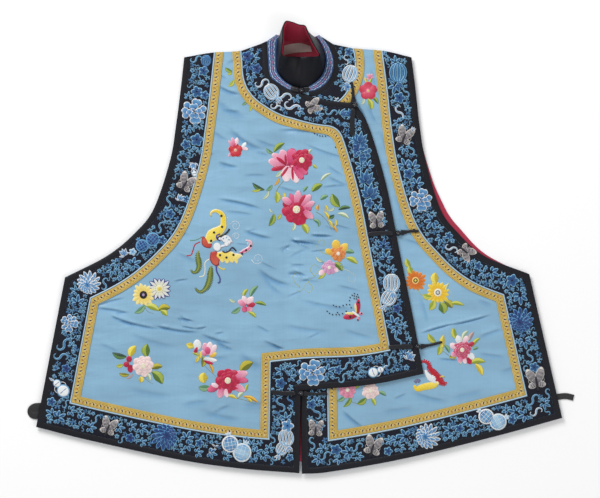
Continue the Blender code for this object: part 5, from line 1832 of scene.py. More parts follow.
GROUND_LEAVES = {
    # palette: stem x, y, tip x, y, width
    "left": {
        "sage": (
            (-41, 140.5, -52, 148.5, 5.5), (-43, 93.5, -52, 85, 6), (4, 83, 11, 91, 5),
            (29.5, 71, 41, 77, 7), (19, 41, 29.5, 34, 6), (26, 40, 26.5, 30.5, 4.5),
            (-80.5, 220, -88.5, 213.5, 5), (-136, -209.5, -153.5, -209.5, 10.5),
            (-233.5, -86.5, -249.5, -98.5, 8.5), (-76, -74.5, -64, -58, 7.5),
            (-91, -89.5, -104.5, -98.5, 7.5), (65, -7, 80, -8.5, 7.5)),
        "green": (
            (-40, 143, -24.5, 156, 8.5), (17, 83.5, 32.5, 94, 10), (58, 60.5, 47.5, 80, 13),
            (-40.5, 50, -48, 32, 8.5), (-103, 263.5, -113.5, 269.5, 6),
            (-230.5, -164.5, -230, -145, 13), (-223, -187, -208, -205, 14.5),
            (-68.5, -83.5, -52, -87.5, 6), (50, -23.5, 62, -35.5, 10)),
        "mist": (
            (11, 138.5, 17, 147.5, 4.5), (-29.5, 114.5, -38, 105.5, 6),
            (-47.5, 84.5, -57.5, 71.5, 5), (29.5, 98.5, 46, 111, 5), (55, 50.5, 72.5, 43, 6.5),
            (50.5, 59.5, 41, 54.5, 4.5), (-41.5, 52, -47, 58, 3.5), (-9.5, 36.5, -13, 24.5, 6),
            (-232, -188.5, -226, -200.5, 7), (-94, -226, -86, -218, 7),
            (-97, -82, -107.5, -77.5, 4.5), (33.5, -22, 23, -14.5, 5)),
        "lime": (
            (17.5, 123.5, 23.5, 117.5, 5), (-58, 89, -74, 84.5, 4.5),
            (-36.5, 83, -36.5, 66.5, 10), (-30.5, 50, -35.5, 41.5, 5), (1, 35.5, 10, 20, 10),
            (-103, 262, -110.5, 260, 4.5), (-99.5, 251.5, -109, 241, 6.5),
            (-74.5, 214, -77.5, 203.5, 5), (-266.5, -176, -277, -178, 6.5),
            (-162.5, -158.5, -153.5, -163, 4.5), (-82, -215.5, -78.5, -205, 5),
            (-232, -88, -212.5, -95.5, 10), (-211, -94, -200.5, -103, 9),
            (-86.5, -74.5, -79, -62.5, 6), (-79, -97, -67, -106, 6), (68, -16, 84.5, -25, 8.5),
            (36.5, -35.5, 26, -47.5, 6)),
        "amber": (
            (-32.5, 104, -40, 92.5, 4), (26, 54.5, 26, 64, 5), (48.5, 32, 53, 22, 4),
            (-139, -173.5, -131.5, -190, 4.5), (-86.5, -224, -64, -233.5, 6)),
        "dark": (
            (-54.5, 86, -72.5, 96.5, 7), (56.5, 56, 74.5, 59, 6.5), (50, 48.5, 41, 44, 6),
            (-261.5, -164, -282.5, -158, 9.5)),
        "yellowleaf": (
            (-25, 81.5, -26.5, 71.5, 5), (36.5, 63.5, 40, 51.5, 4), (35, 53, 42.5, 41.5, 4.5),
            (41, 41, 47, 29, 4.5), (52, 42.5, 50.5, 29, 4), (-256, -164.5, -247, -148, 12),
            (-240.5, -194, -240, -203, 9), (-160, -147.5, -171.5, -145, 10),
            (-152, -155.5, -152, -167, 5.5), (-154, -163, -158, -173, 5),
            (-144.5, -203.5, -145, -188, 14.5), (-110.5, -223, -95.5, -227.5, 5.5),
            (-82, -226, -73, -233, 5)),
        "olive": (
            (-224, -182, -207.5, -179, 9.5), (-257.5, -191, -272.5, -189, 6.5),
            (-146.5, -163, -148, -179.5, 8.5), (-90.5, -185.5, -71.5, -173, 14.5),
            (-214, -94, -196, -91, 11.5)),
        "pinkleaf": ((-251.5, -190, -262, -197, 3.5),),
    },
    "right": {
        "lime": (
            (164.5, -31, 158.5, -17, 9), (167, -39.5, 162.5, -28, 10),
            (197, -74.5, 182.5, -71, 10), (200, -79, 192.5, -94, 11),
            (222.5, -85, 245, -87.5, 6.5), (203, -143.5, 191, -129.5, 9),
            (209, -146.5, 205, -161.5, 9), (233.5, -137.5, 229, -120.5, 9),
            (257, -149.5, 269, -136, 6), (254, -173.5, 276.5, -172, 9.5),
            (105.5, -226, 111.5, -238, 6.5), (81.5, -212.5, 92, -205, 5.5),
            (101, 222.5, 106, 206, 8.5), (104, 245, 107.5, 254.5, 4.5)),
        "yellowleaf": (
            (203, -55, 202, -38, 13), (214, -151, 214.5, -131.5, 8.5),
            (261.5, -175, 272, -192.5, 9), (99.5, 246.5, 97, 256, 4)),
        "green": (
            (209, -83.5, 214, -99.5, 14.5), (75.5, -224.5, 64, -239.5, 6.5),
            (98, -226, 84.5, -235, 9), (107, 225.5, 116, 215, 6)),
        "olive": ((215, -80.5, 227, -91, 11), (233, -161.5, 222.5, -164.5, 9)),
        "mist": (
            (218, -65.5, 222.5, -53.5, 5), (242, -138.5, 251, -125, 6.5),
            (237.5, -166, 239, -176, 6.5), (95, 224, 90.5, 213.5, 5)),
        "sage": (
            (215, -146.5, 222.5, -158.5, 6), (258.5, -154, 266.5, -150.5, 5),
            (66.5, -223, 54.5, -230.5, 6.5), (116, -217, 128, -223, 6)),
        "pinkleaf": ((252.5, -140.5, 260, -127, 7),),
    },
}
GROUND_FLOWERS = {
    # motif: x, y, radius, angle, palette
    "left": {
        "blossom": ((-98, 145.5, 11, 90, "red"),),
        "peony": (
            (1.5, 130.5, 17, 20, "crimson"), (-6.5, 56.5, 22.5, 10, "crimson"),
            (-109.5, -200, 19, 0, "crimson"), (-236.5, -178, 16, 10, "blushfull"),
            (56, -9.5, 12, 10, "flame"), (42.5, -30.5, 11, 40, "lilac")),
        "daisy": ((-236, -71.5, 17, 0, "yellowday"), (-212, -62.5, 17, 12, "blueday")),
        "rosette": ((-20.5, 123.5, 6, 0, "crimson"),),
        "peonyheart": ((-110, -197.5, 8, 0, "yellow"),),
    },
    "right": {
        "peony": (
            (242, -154, 14, 15, "rimmed"), (70, -214, 13, 30, "pinkish"),
            (104.5, -215.5, 13, 70, "blushfull")),
        "blossom": ((101, 234.5, 14, 90, "redpink"),),
        "daisy": ((172, -50, 15.5, 0, "orangeday"), (205.5, -68, 17, 10, "yellowday2")),
        "bud": ((104, 252.5, 6, 95, "pink"), (195.5, -199, 6, 40, "white")),
    },
}
GROUND_STEMS = {
    # tint: half width, points
    "left": {
        "lime": (
            (0.5, ((44, -22), (32, -31), (20, -43), (8, -55), (0, -66), (-7, -64))),
            (0.45, ((20, -43), (14, -34), (20, -26), (28, -31))),
            (0.5, ((46, -12), (38, -10), (29, -6), (24, 2), (28, 10), (35, 10), (36, 4), (32, 2))),
            (0.45, ((-1, -60), (-8, -54), (-12, -44), (-6, -38), (0, -43))),
            (0.45, ((11, -52), (18, -61), (12, -68), (5, -62))),
            (0.45, ((-151, -157), (-157, -164), (-163, -158)))),
        "mist": (
            (0.5, ((53, -31), (62, -32), (74, -37), (82, -44), (80, -52), (72, -50), (72, -44))),),
        "olive": (
            (0.5, ((-37, 83), (-32, 92), (-25, 100), (-20, 104))),
            (0.5, ((23, 53), (32, 47), (40, 38), (46, 26))),
            (0.5, ((-151, -157), (-148, -172), (-138, -184), (-127, -194))),
            (0.45, ((-236, -193), (-230, -200), (-222, -205))),
            (0.45, ((-236, -85), (-230, -96), (-220, -100))),
            (0.45, ((-103, -220), (-97, -226), (-82, -230), (-67, -235)))),
        "amber": ((0.5, ((34, 64), (36, 52), (42, 40), (50, 26))),),
    },
    "right": {
        "lime": ((0.5, ((175, -62), (179, -70), (186, -73), (194, -70))),),
        "mist": (
            (0.5, ((218, -60), (224, -66), (227, -74), (226, -80))),
            (0.4, ((222, -144), (232, -145), (238, -148)))),
        "olive": (
            (0.45, ((222, -163), (215, -157), (204, -154))),
            (0.45, ((101, 222), (102, 215), (107, 208))),
            (0.45, ((70, -224), (77, -232), (89, -234), (101, -226)))),
    },
}

# %% Butterflies on the light ground
BUTTERFLIES = {
    # wing or line, palette, ribs of x, y, half width
    "left": (
        ("wing", "gold", (
            (-134.5, 46, 1.1), (-134.5, 51.5, 2.5), (-128.5, 54.5, 3.1), (-121, 52, 3.9),
            (-116.5, 46, 4.6), (-116, 38.5, 4.8), (-116.5, 31, 5.8), (-122, 25, 7.5),
            (-128.5, 20.5, 9), (-134.5, 15.5, 9.8), (-137.5, 10, 7.5), (-138.5, 5.5, 4.5))),
        ("wing", "butter", (
            (-126, -11.5, 4.5), (-121, -12.5, 7.1), (-113.5, -13.5, 8.2), (-106, -13.5, 7.5),
            (-100, -15, 6.5), (-94, -13.5, 4.5), (-87.5, -12.5, 1.2))),
        ("wing", "hook", (
            (-92.5, -8.5, 1.2), (-87.5, -7, 3.4), (-82, -4.5, 3.6), (-76.5, -0.5, 3.1),
            (-74.5, 5, 2.7), (-76.5, 9, 2.1), (-83, 10.5, 0.9))),
        ("wing", "brick", (
            (-134.5, 1, 3), (-138.5, 3.5, 6), (-143, 8, 7.2), (-146, 13, 4.5), (-147, 16, 1.5))),
        ("wing", "brick", (
            (-131, -6.5, 4.5), (-130, -11.5, 6.6), (-129, -17.5, 7.5), (-127, -23.5, 6.3),
            (-124, -27.5, 2.2))),
        ("wing", "plume", (
            (-153.5, -5.5, 1.8), (-154.5, -13, 3.9), (-153, -22, 4), (-152.5, -29.5, 3.4),
            (-156, -36.5, 2.5), (-161.5, -38, 1.6), (-165, -33.5, 0.9))),
        ("wing", "plume", (
            (-134, -28, 2.2), (-135.5, -38.5, 4), (-137, -50.5, 4.3), (-141.5, -61, 4),
            (-149, -67, 2.7), (-155, -65.5, 1.8), (-158.5, -60.5, 0.9))),
        ("line", "red", (
            (-151, 8, 0.8), (-158.5, 4, 0.8), (-161.5, -4, 0.8), (-164.5, -11.5, 0.8),
            (-171.5, -13, 0.6))),
        ("line", "leafthread", ((-148, 15.5, 0.5), (-156.5, 11, 0.6), (-166, 10, 0.4))),
        ("line", "ivory", (
            (-137, -17.5, 0.8), (-143.5, -23, 0.8), (-143.5, -33.5, 0.8), (-145.5, -42.5, 0.7),
            (-152.5, -44.5, 0.6))),
        ("line", "violet", (
            (-127, -28, 0.7), (-126, -36.5, 0.8), (-121.5, -45.5, 0.8), (-121.5, -52, 0.7),
            (-124.5, -53.5, 0.5))),
        ("line", "yellowthread", ((-123.5, -29, 0.9), (-118, -33, 1.1), (-113, -32.5, 0.7))),
        ("line", "black", (
            (-107, 27.5, 0.8), (-110, 23, 1.1), (-116, 18, 1.2), (-122, 16, 0.9),
            (-125.5, 12.5, 0.7))),
        ("line", "black", (
            (-117.5, -5.5, 0.7), (-113.5, -8, 0.9), (-107.5, -5.5, 1.1), (-102.5, -0.5, 1.1),
            (-97, -5.5, 0.7))),
        ("wing", "snow", (
            (-121, 10, 1.2), (-117.5, 14, 3.3), (-112, 14.5, 4.6), (-107, 11.5, 3.8),
            (-102, 6.5, 1.1))),
        ("wing", "snow", (
            (-122, 0.5, 1.5), (-116.5, 2, 2.5), (-110.5, 3.5, 2.2), (-105.5, 3.5, 0.9))),
        ("line", "violet", (
            (-121, 20, 0.7), (-126, 17.5, 0.9), (-125.5, 12.5, 0.8), (-121, 10, 0.6))),
    ),
    "right": (
        ("wing", "scarlet", (
            (180.5, -174, 1.8), (184, -171, 2.9), (191, -174, 3.4), (193.5, -181.5, 4.3),
            (200.5, -189.5, 4.7), (206.5, -196.5, 5), (211, -203, 4.3), (216, -205.5, 2.5),
            (218.5, -202, 1.1))),
        ("wing", "gold", (
            (170, -207, 1.6), (174, -212.5, 4.5), (183, -210, 5.2), (193, -208, 5.6),
            (201, -206.5, 5), (206.5, -202.5, 2.3))),
        ("wing", "snow", (
            (186.5, -184, 1.8), (189.5, -190.5, 3.4), (195.5, -197.5, 5), (200.5, -202, 3.4),
            (203, -205.5, 1.4))),
        ("line", "violetgrey", ((171, -203, 1.6), (175, -199.5, 2.3), (178.5, -202, 1.4))),
        ("line", "yellowthread", (
            (205.5, -196.5, 1.1), (213, -193.5, 1.1), (215.5, -195, 0.8))),
    ),
}
BUTTERFLY_SPOTS = (
    # thread, height that they start at, spots of x, y, radius
    ("black", 0.9, (
        (-119, 47, 1.9), (-118, 30.5, 1.9), (-130, 22, 1.9), (-134.5, 9.5, 1.9),
        (-121, -12, 1.8), (-111.5, -15.5, 1.8), (-101, -11.5, 1.8), (-88, -9.5, 1.6),
        (-82, -4.5, 1.6), (-75, 2, 1.8))),
    ("black", 0.9, (
        (39.5, -96, 1), (43, -99, 1), (47.5, -101, 1), (53, -101, 1), (57.5, -101, 1),
        (62.5, -99.5, 1), (68, -96, 1), (55, -98, 1), (49, -87, 1), (53, -89, 1),
        (58, -89.5, 1), (63.5, -87.5, 1), (68.5, -86, 1), (73, -86, 1), (75.5, -90.5, 1),
        (73, -80, 1), (74, -75.5, 1), (77, -72, 1), (80.5, -69.5, 1), (85, -71, 1),
        (83.5, -74, 1), (86.5, -75, 1), (80, -77, 1), (83.5, -77.5, 1), (80, -73, 1),
        (91, -99, 1.3), (85.5, -109, 1.3), (74, -104.5, 1.8), (86.5, -83, 1.5),
        (20.5, 170.5, 1), (24.5, 168.5, 1), (28.5, 167, 1), (32.5, 166.5, 1), (37, 166.5, 1),
        (41, 167.5, 1), (44.5, 169, 1), (56.5, 158, 1), (53.5, 154, 1), (52, 150, 1),
        (56, 147.5, 1), (59.5, 149.5, 1))),
    ("white", 0.6, (
        (-125.5, 0.5, 6.3), (-122, 13, 2.7), (-113.5, 12.5, 5.7), (-107.5, 8, 3.3),
        (-111.5, 5, 3.6))),
    ("sky", 0.9, (
        (-116, 13, 1.3), (-111.5, 14.5, 1.2), (-107.5, 11, 1.2), (-113, -5.5, 2.1),
        (-103, -3.5, 1.5))),
)
BUTTERFLY_COILS = (
    # x, y, size, angle, hand
    (-106, 33.5, 8.2, 170, -1), (-102.5, 15.5, 5.7, 190, -1), (-74, -18.5, 9.3, 190, 1),
    (-77.5, 8, 3, 90, 1),
)

# %% Places on the dark border
BORDER_MOTIFS = {
    # motif, palette: x, y, radius, angle
    "left": {
        ("scroll", "blue"): (
            (-157, 282, 9, 0), (-182, 131, 8, 70), (-198, 68, 8, 60), (-211, 29, 7.5, 45),
            (-294, -55, 7.5, 60), (-355, -146, 10, 15), (-360, -164, 9, 160),
            (-352, -235, 7, 30), (-307, -258, 7, 20), (-268, -289, 7, 20), (-42, -286, 8, 80),
            (-34, -314, 8, 10), (-30, -236, 9, 90), (64, -196, 9, 30), (68, -178, 8, 0),
            (132, -172, 7.5, 30), (146, -139, 9, 80), (149, -102, 7, 80), (122, -37, 8, 80),
            (104, 50, 8, 80), (116, 76, 8, 90), (-80, 308, 7, 70), (32, 215, 8, 10),
            (46, 202, 7.5, 340)),
        ("melon", "deep"): ((-142, 280, 8, 80),),
        ("blossom", "blue"): (
            (-146, 264, 8, 0), (-156, 233, 9, 30), (-144, 228, 7, 0), (-156, 161, 10, 10),
            (-172, 154, 8, 40), (-172, 72, 7, 0), (-196, 50, 8, 0), (-208, 11, 7, 0),
            (-374, -232, 7.5, 0), (-152, -294, 7, 0), (-82, -289, 7, 0), (-31, -218, 7, 0),
            (-30, -204, 9, 0), (56, -184, 7, 0), (102, 66, 8, 0), (50, 212, 7, 0)),
        ("sprig", "blue"): ((-170, 245, 22.5, 80),),
        ("leaves", "blue"): (
            (-168, 228, 10.5, 80), (-172, 174, 10, 260), (-162, 178, 6, 285),
            (-152, 144, 9, 270), (-214, 52, 8, 230), (-247, -24, 9, 20), (-280, -25, 9, 200),
            (-264, -38, 8, 330), (-284, -38, 7.5, 250), (-340, -64, 7, 150), (-334, -79, 9, 80),
            (-352, -86, 8, 110), (-342, -146, 6, 60), (-376, -248, 8, 140), (-360, -254, 9, 20),
            (-342, -246, 7.5, 350), (-325, -258, 9, 10), (-313, -271, 7.5, 350),
            (-270, -271, 7.5, 350), (-252, -268, 7.5, 20), (-236, -274, 8, 330),
            (-236, -292, 8, 20), (-169, -283, 9, 60), (-166, -298, 8, 340),
            (-178, -306, 7.5, 200), (-152, -308, 8, 10), (-132, -310, 7.5, 340),
            (-122, -284, 7, 60), (-72, -294, 8, 60), (-64, -307, 8, 20), (-52, -314, 7.5, 340),
            (-46, -300, 7, 70), (-109, -314, 7.5, 350), (-12, -313, 7, 30), (-22, -254, 8, 90),
            (-12, -248, 6, 80), (-32, -184, 8, 150), (-13, -194, 7.5, 10), (-13, -180, 7, 30),
            (44, -184, 9, 20), (44, -202, 7.5, 340), (86, -193, 7.5, 340), (90, -176, 7, 30),
            (134, -193, 7.5, 350), (149, -187, 7.5, 20), (152, -157, 7.5, 120),
            (166, -184, 6, 300), (162, -136, 7.5, 80), (138, -110, 10, 100),
            (143, -127, 8, 260), (155, -116, 8, 50), (118, -64, 7.5, 150), (137, -32, 8, 60),
            (113, -22, 9, 120), (130, -13, 9, 60), (110, 0, 8, 110), (124, 40, 8, 60),
            (118, 59, 8, 60), (102, 124, 9, 60), (88, 124, 8, 150), (77, 162, 7, 150),
            (92, 179, 8, 80), (83, 185, 7, 250), (-68, 286, 7.5, 50), (-74, 254, 7.5, 280),
            (-6, 221, 10.5, 300), (29, 198, 7, 10), (0, 202, 7, 330)),
        ("peony", "whiteline"): (
            (-160, 204, 19.5, 0), (-347, -114, 16, 75), (17, -188, 21.5, 0)),
        ("bud", "whiteline"): (
            (-160, 126, 7, 250), (-182, 70, 7, 70), (-264, -13, 8, 110), (161, -168, 9, 60)),
        ("gourd", "whiteline"): (
            (-160, 113, 8, 100), (-360, -211, 14, 130), (113, -186, 14, 20)),
        ("butterfly", "hatch"): (
            (-175, 92, 15.5, 60), (-290, -274, 14.5, 70), (114, 35, 14, 95), (14, 210, 16, 20)),
        ("leaves", "deep"): (
            (-187, 40, 7, 200), (125, 6, 8, 80), (-76, 300, 9, 80), (-79, 269, 8, 250)),
        ("pomegranate", "deep"): ((-222, 12, 10.5, 230), (-238, 2, 10, 120)),
        ("blossom", "pale"): ((-252, -7, 6, 0),),
        ("chrysanthemum", "whiteline"): ((-318, -54, 20, 50),),
        ("bud", "blue"): ((-367, -184, 7, 100), (76, 197, 10, 140), (60, 198, 8, 30)),
        ("blossom", "deep"): (
            (-352, -182, 7.5, 0), (-256, -286, 7.5, 0), (144, -92, 7.5, 0), (84, 149, 7.5, 0),
            (-80, 286, 9, 0), (-66, 268, 8, 0)),
        ("scroll", "whiteline"): (
            (-376, -214, 7, 60), (-26, 227, 13, 330), (-12, 210, 11, 320), (-58, 246, 9, 0),
            (-37, 210, 7, 330)),
        ("chrysanthemum", "deep"): ((-204, -284, 21, 200),),
        ("sprig", "whiteline"): ((-133, -314, 19, 80),),
        ("pomegranate", "whiteline"): ((-106, -295, 13, 100),),
        ("pomegranate", "pale"): ((-88, -308, 14.5, 70),),
        ("melon", "whiteline"): (
            (-22, -286, 12.5, 100), (-28, -302, 10, 60), (132, -76, 12, 60),
            (136, -54, 13.5, 90), (-44, 233, 15, 125)),
        ("blossom", "whiteline"): ((-20, -268, 10, 0),),
        ("scroll", "deep"): ((-16, -230, 7.5, 80),),
        ("lotus", "blue"): ((104, 83, 13, 80), (98, 104, 12, 85), (89, 162, 12, 80)),
        ("peony", "blue"): ((92, 142, 13.5, 0),),
    },
    "right": {
        ("melon", "whiteline"): ((74, 260, 16, 70),),
        ("leaves", "blue"): (
            (64, 239, 9, 230), (77, 282, 10, 100), (142, 281, 7.5, 90), (155, 280, 7.5, 60),
            (140, 238, 9, 250), (161, 209, 7.5, 80), (143, 185, 7, 200), (154, 146, 7.5, 250),
            (155, 126, 10, 110), (170, 124, 9, 60), (156, 96, 8, 230), (176, 98, 9, 60),
            (167, 52, 7.5, 230), (200, 50, 8, 20), (194, 35, 10, 230), (210, 28, 10, 20),
            (209, 10, 8, 250), (251, -24, 7, 240), (282, -26, 9, 30), (290, -40, 9, 330),
            (272, -40, 7, 200), (306, -37, 8, 20), (306, -56, 7.5, 240), (329, -78, 10, 270),
            (316, -73, 7, 120), (341, -86, 7, 60), (336, -145, 9, 280), (324, -142, 7, 230),
            (330, -166, 7.5, 260), (368, -236, 7.5, 330), (338, -214, 7, 200),
            (332, -253, 9, 200), (318, -246, 9, 160), (306, -242, 7, 150),
            (282, -272, 7.5, 200), (257, -274, 10, 190), (246, -259, 9, 160),
            (260, -258, 7, 60), (226, -284, 9, 200), (220, -272, 9, 150), (239, -288, 7, 340),
            (166, -301, 9, 200), (152, -283, 10, 170), (140, -290, 8, 190), (152, -302, 7, 340),
            (131, -289, 7, 160), (89, -314, 7.5, 350), (68, -307, 9, 170), (54, -319, 7.5, 200),
            (23, -319, 8, 200), (32, -300, 7.5, 120), (17, -220, 8, 90), (26, -229, 7.5, 60),
            (14, -256, 7, 110), (30, -266, 7, 60)),
        ("blossom", "whiteline"): ((70, 240, 8, 0),),
        ("sprig", "blue"): ((50, 226, 22.5, 200),),
        ("scroll", "whiteline"): (
            (68, 281, 6, 80), (148, 202, 9, 90), (226, -2, 8, 320), (353, -247, 8, 10)),
        ("leaves", "pale"): ((53, 220, 7.5, 190),),
        ("blossom", "blue"): (
            (72, 293, 7, 0), (148, 224, 9, 0), (162, 110, 9, 0), (222, 17, 8, 0),
            (266, -28, 7, 0), (317, -50, 10, 0), (350, -180, 8, 0), (317, -259, 7, 0),
            (238, -272, 7.5, 0), (131, -306, 7, 0), (53, -304, 9, 0), (16, -236, 8, 0)),
        ("melon", "blue"): ((146, 262, 14, 90),),
        ("scroll", "blue"): (
            (158, 233, 8, 90), (166, 148, 8, 80), (262, -13, 8, 330), (344, -163, 8, 80),
            (338, -186, 7, 80), (348, -229, 9, 20), (370, -220, 8, 70), (84, -300, 8, 10),
            (36, -313, 8, 10), (24, -247, 9, 90), (17, -294, 7.5, 80)),
        ("butterfly", "hatch"): (
            (154, 162, 15, 70), (244, -4, 17, 320), (354, -204, 17, 100), (107, -304, 17, 75),
            (22, -277, 13.5, 85)),
        ("bud", "whiteline"): ((167, 174, 6, 60),),
        ("peony", "whiteline"): ((180, 71, 20.5, 0),),
        ("chrysanthemum", "deep"): ((330, -110, 20, 60),),
        ("pomegranate", "pale"): ((296, -262, 13, 30),),
        ("pomegranate", "whiteline"): ((278, -254, 12, 140),),
        ("chrysanthemum", "whiteline"): ((190, -284, 22, 10),),
    },
}

# %% [markdown]
# ## Working the embroidery
# The ground sprays are worked first, then the border. Between the border's larger motifs the
# embroiderer fills every gap with leaves and curls, so the fill is laid by rule: it walks each
# band and sets a small motif wherever none is near.

# %% Floss finish
def floss_finish():
    """Silk floss: its colour from the corners, fine stitch lines and a satin shine."""
    material, tree, shader, uv = new_finish("silk floss", 0.42, 0.1, 0.45)
    dyed = node(tree, "VertexColor", layer_name="floss").outputs["Color"]
    weave = use(tree, WEAVE, Vector=uv, Warp=0.0, Weft=math.tau / 0.4, Depth=0.3)
    uneven = use(tree, DYE, Vector=uv, Amount=0.3, Clouds=0.4, Streaks=(0.2, 3.0, 1.0))
    dress(tree, shader, dyed, 0.5, weave, uneven)
    return material


silk_floss = floss_finish()


# %% Sprays and butterflies on the light ground
FEATHERS = ("plume", "scarlet")
FEATHER_SHAFT = 0.62      # share of a feather's width that its shaft takes
OVER = {"black": 0.9, "violet": 0.9}   # height at which a butterfly's lines lie, by thread
DAISY_RIM = {"blueday": 1.5}   # width of the edge floss where it isn't the usual one


def rows_of(table):
    """Every row of a table that is grouped by a key, each with its key."""
    return [(key, row) for key, rows in table.items() for row in rows]


def bearing(x0, y0, x1, y1):
    """Direction in degrees and distance from one point to another."""
    return math.degrees(math.atan2(y1 - y0, x1 - x0)), math.hypot(x1 - x0, y1 - y0)


def ribbed(work, ribs, palette):
    """A wing or feather from its ribs, with a fringe of short stitches along a feather."""
    heart, tip, edge = PALETTES[palette]
    line = smooth([rib[:2] for rib in ribs], 2.2)
    t = np.linspace(0, 1, len(line))
    half = np.interp(t, np.linspace(0, 1, len(ribs)), [rib[2] for rib in ribs])
    feather = palette in FEATHERS
    work.pad(line, half * (FEATHER_SHAFT if feather else 1.0),
             np.outer(1 - t, heart) + np.outer(t, tip), edge, 0.8)
    if not feather:
        return
    for k, out in list(enumerate(sideways(line)))[1:-1]:
        for hand in (-1, 1):
            turn = bearing(0, 0, *(hand * out))[0] - 38 * hand
            work.petal(*line[k], turn, half[k] * 1.6, 2.0, heart, tip, None, 0.35, 0.0, 0.6,
                       0.1, point=True)
    if palette == "plume":
        work.line(line, 0.7, edge, 0.5, False, 0.7)


def ground_flower(work, kind, x, y, r, angle, palette):
    """A flower of the light ground; a few kinds are only found there."""
    flosses = PALETTES[palette]
    if kind == "rosette":
        work.disc(x, y, r, *flosses, 0.5, 0.2)
    elif kind == "peonyheart":
        work.disc(x, y, r * 0.62, *flosses, 0.5, 0.55)
        work.dot(x, y, r * 0.25, STAMEN, 0.4, 0.95)
    elif kind == "daisy":
        work.rim_width = DAISY_RIM.get(palette, EDGE_FLOSS["ground"])
        daisy(work, x, y, r, angle, flosses, PALETTES["eye of " + palette])
    else:
        MOTIFS[kind](work, x, y, r, angle, flosses)


def ground_work(side):
    """All the stitching on the light ground of one front."""
    work = Needlework(side, 0.0, "ground")
    for tint, (half, points) in rows_of(GROUND_STEMS[side]):
        work.line(smooth(points, 2.5), half, THREADS[tint])
    for palette, (*ends, width) in rows_of(GROUND_LEAVES[side]):
        angle, length = bearing(*ends)
        work.leaf(*ends[:2], length, angle, PALETTES[palette], width / length)
    for palette, (*ends, width, base) in rows_of(GROUND_PETALS[side]):
        work.petal(*ends[:2], *bearing(*ends), width, *PALETTES[palette], base=0.05 + base)
    for kind, row in rows_of(GROUND_FLOWERS[side]):
        ground_flower(work, kind, *row)
    for kind, palette, ribs in BUTTERFLIES[side]:
        if kind == "wing":
            ribbed(work, ribs, palette)
        else:
            work.line(smooth([rib[:2] for rib in ribs], 2.0), ribs[1][2] * 1.15,
                      THREADS[palette], 0.5, False, OVER.get(palette, 0.0))
    if side == "left":
        for thread, base, spots in BUTTERFLY_SPOTS:
            for x, y, r in spots:
                work.dot(x, y, r, THREADS[thread], 0.5, base)
        for x, y, size, angle, hand in BUTTERFLY_COILS:
            work.curl(x, y, size, angle, hand, THREADS["white"], 0.4, 1.6)
    work.piece(f"sprays_{side}", silk_floss)


for side in FRONTS:
    ground_work(side)


# %% The border's motifs, and the fill between them
FILLERS = ("leaves", "scroll", "leaves", "blossom", "leaves", "bud")
FILL_TURN, FILL_DEEP = 137, 4   # degrees from one filler to the next; every fourth is deep
FILL_PAST = 6             # how far past the corners the rows go on
FILL_STEP, FILL_DEPTHS = 2.0, np.array([0.16, 0.34, 0.5, 0.66, 0.84])   # along, across
FILL_LEAST, FILL_MOST = 2.6, 5.5   # room that a filler needs, and the most that it takes
LEAST_ROOM = 2.0          # room that a larger motif needs
ON_BORDER = 1.32          # height of the border's ground above the front
WHITE_RIM = 1.2           # width of the edge floss of the white motifs


def room_in_band(front, points):
    """Distance to the nearer side of the border band, or less than nothing outside it."""
    outer, inner = front.outline(1), front.outline(3)
    near = np.minimum(from_line(points, inner), from_line(points, outer))
    return np.where(inside(points, outer) & ~inside(points, inner), near, -near)


def fill_spots(front):
    """Points in close rows along every border of a front."""
    spots = []
    for i, run in enumerate(front.runs):
        if run.name not in ("neck_plain", "neck_end"):
            _, start, stop = front.row_ends(i, 2)
            low, high = front.depth(i, 1), front.depth(i, 3)
            for u in np.arange(start - FILL_PAST, stop + FILL_PAST, FILL_STEP):
                spots.append(run.at(np.full(len(FILL_DEPTHS), u),
                                    low + (high - low) * FILL_DEPTHS))
    return np.vstack(spots)


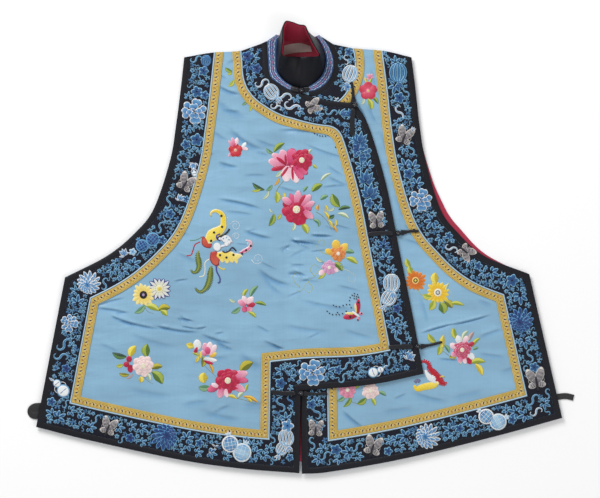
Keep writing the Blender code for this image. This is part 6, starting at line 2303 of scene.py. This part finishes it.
def border_work(side):
    """All the stitching on the dark border of one front."""
    work, front, taken = Needlework(side, ON_BORDER, "border"), FRONTS[side], []
    motifs = rows_of(BORDER_MOTIFS[side])
    rooms = room_in_band(front, np.array([row[:2] for _, row in motifs]))
    for ((kind, palette), (x, y, r, angle)), room in zip(motifs, rooms):
        if room > LEAST_ROOM:
            r = min(r, max(room, 0.6 * r) if kind == "leaves" else max(room * 1.2, 0.8 * r))
            work.rim_width = WHITE_RIM if palette == "whiteline" else EDGE_FLOSS["border"]
            MOTIFS[kind](work, x, y, r, angle, PALETTES[palette])
            taken.append((x, y, r * 0.95))
    work.rim_width, count = EDGE_FLOSS["border"], 0
    spots = fill_spots(front)
    for (x, y), room in zip(spots, room_in_band(front, spots)):
        xs, ys, reach = np.array(taken).T
        room = min(room, (np.hypot(xs - x, ys - y) - reach).min())
        if room > FILL_LEAST:
            r = min(room, FILL_MOST) * 1.1
            palette = PALETTES["blue" if count % FILL_DEEP else "deep"]
            MOTIFS[FILLERS[count % len(FILLERS)]](work, x, y, r, FILL_TURN * count % 360,
                                                  palette)
            taken.append((x, y, r))
            count += 1
    print(side, "border motifs:", len(taken))
    work.piece(f"border_work_{side}", silk_floss)


for side in FRONTS:
    border_work(side)

# %% [markdown]
# Each main panel's cut is measured: its size and the area inside its outline are printed.

# %% Sheets
def flat_area(outline):
    """Area inside a closed line, in square metres."""
    x, y = outline[:, 0], outline[:, 1]
    return abs((x * np.roll(y, -1) - y * np.roll(x, -1)).sum()) / 2 * MM * MM


def declare(piece, outline, with_pieces=()):
    """Print the size and area of a panel's cut; what rides on it is not used."""
    size, area = (outline.max(axis=0) - outline.min(axis=0)) * MM, flat_area(outline)
    tuple(size)
    print(piece.name, "cut", [round(float(s), 3) for s in size], "m, area",
          round(area, 4), "m2")


def riders(side):
    """The trims and stitching that are sewn to one front."""
    return [piece for name, piece in HOLD.items()
            if f"_{side}_" in f"{name}_" and not name.startswith(("front", "tie"))]


declare(HOLD["back_silk"], back_line)
declare(HOLD["back_lining_silk"], back_line)
for side in FRONTS:
    declare(HOLD[f"front_{side}_silk"], join_outlines(side),
            riders(side))
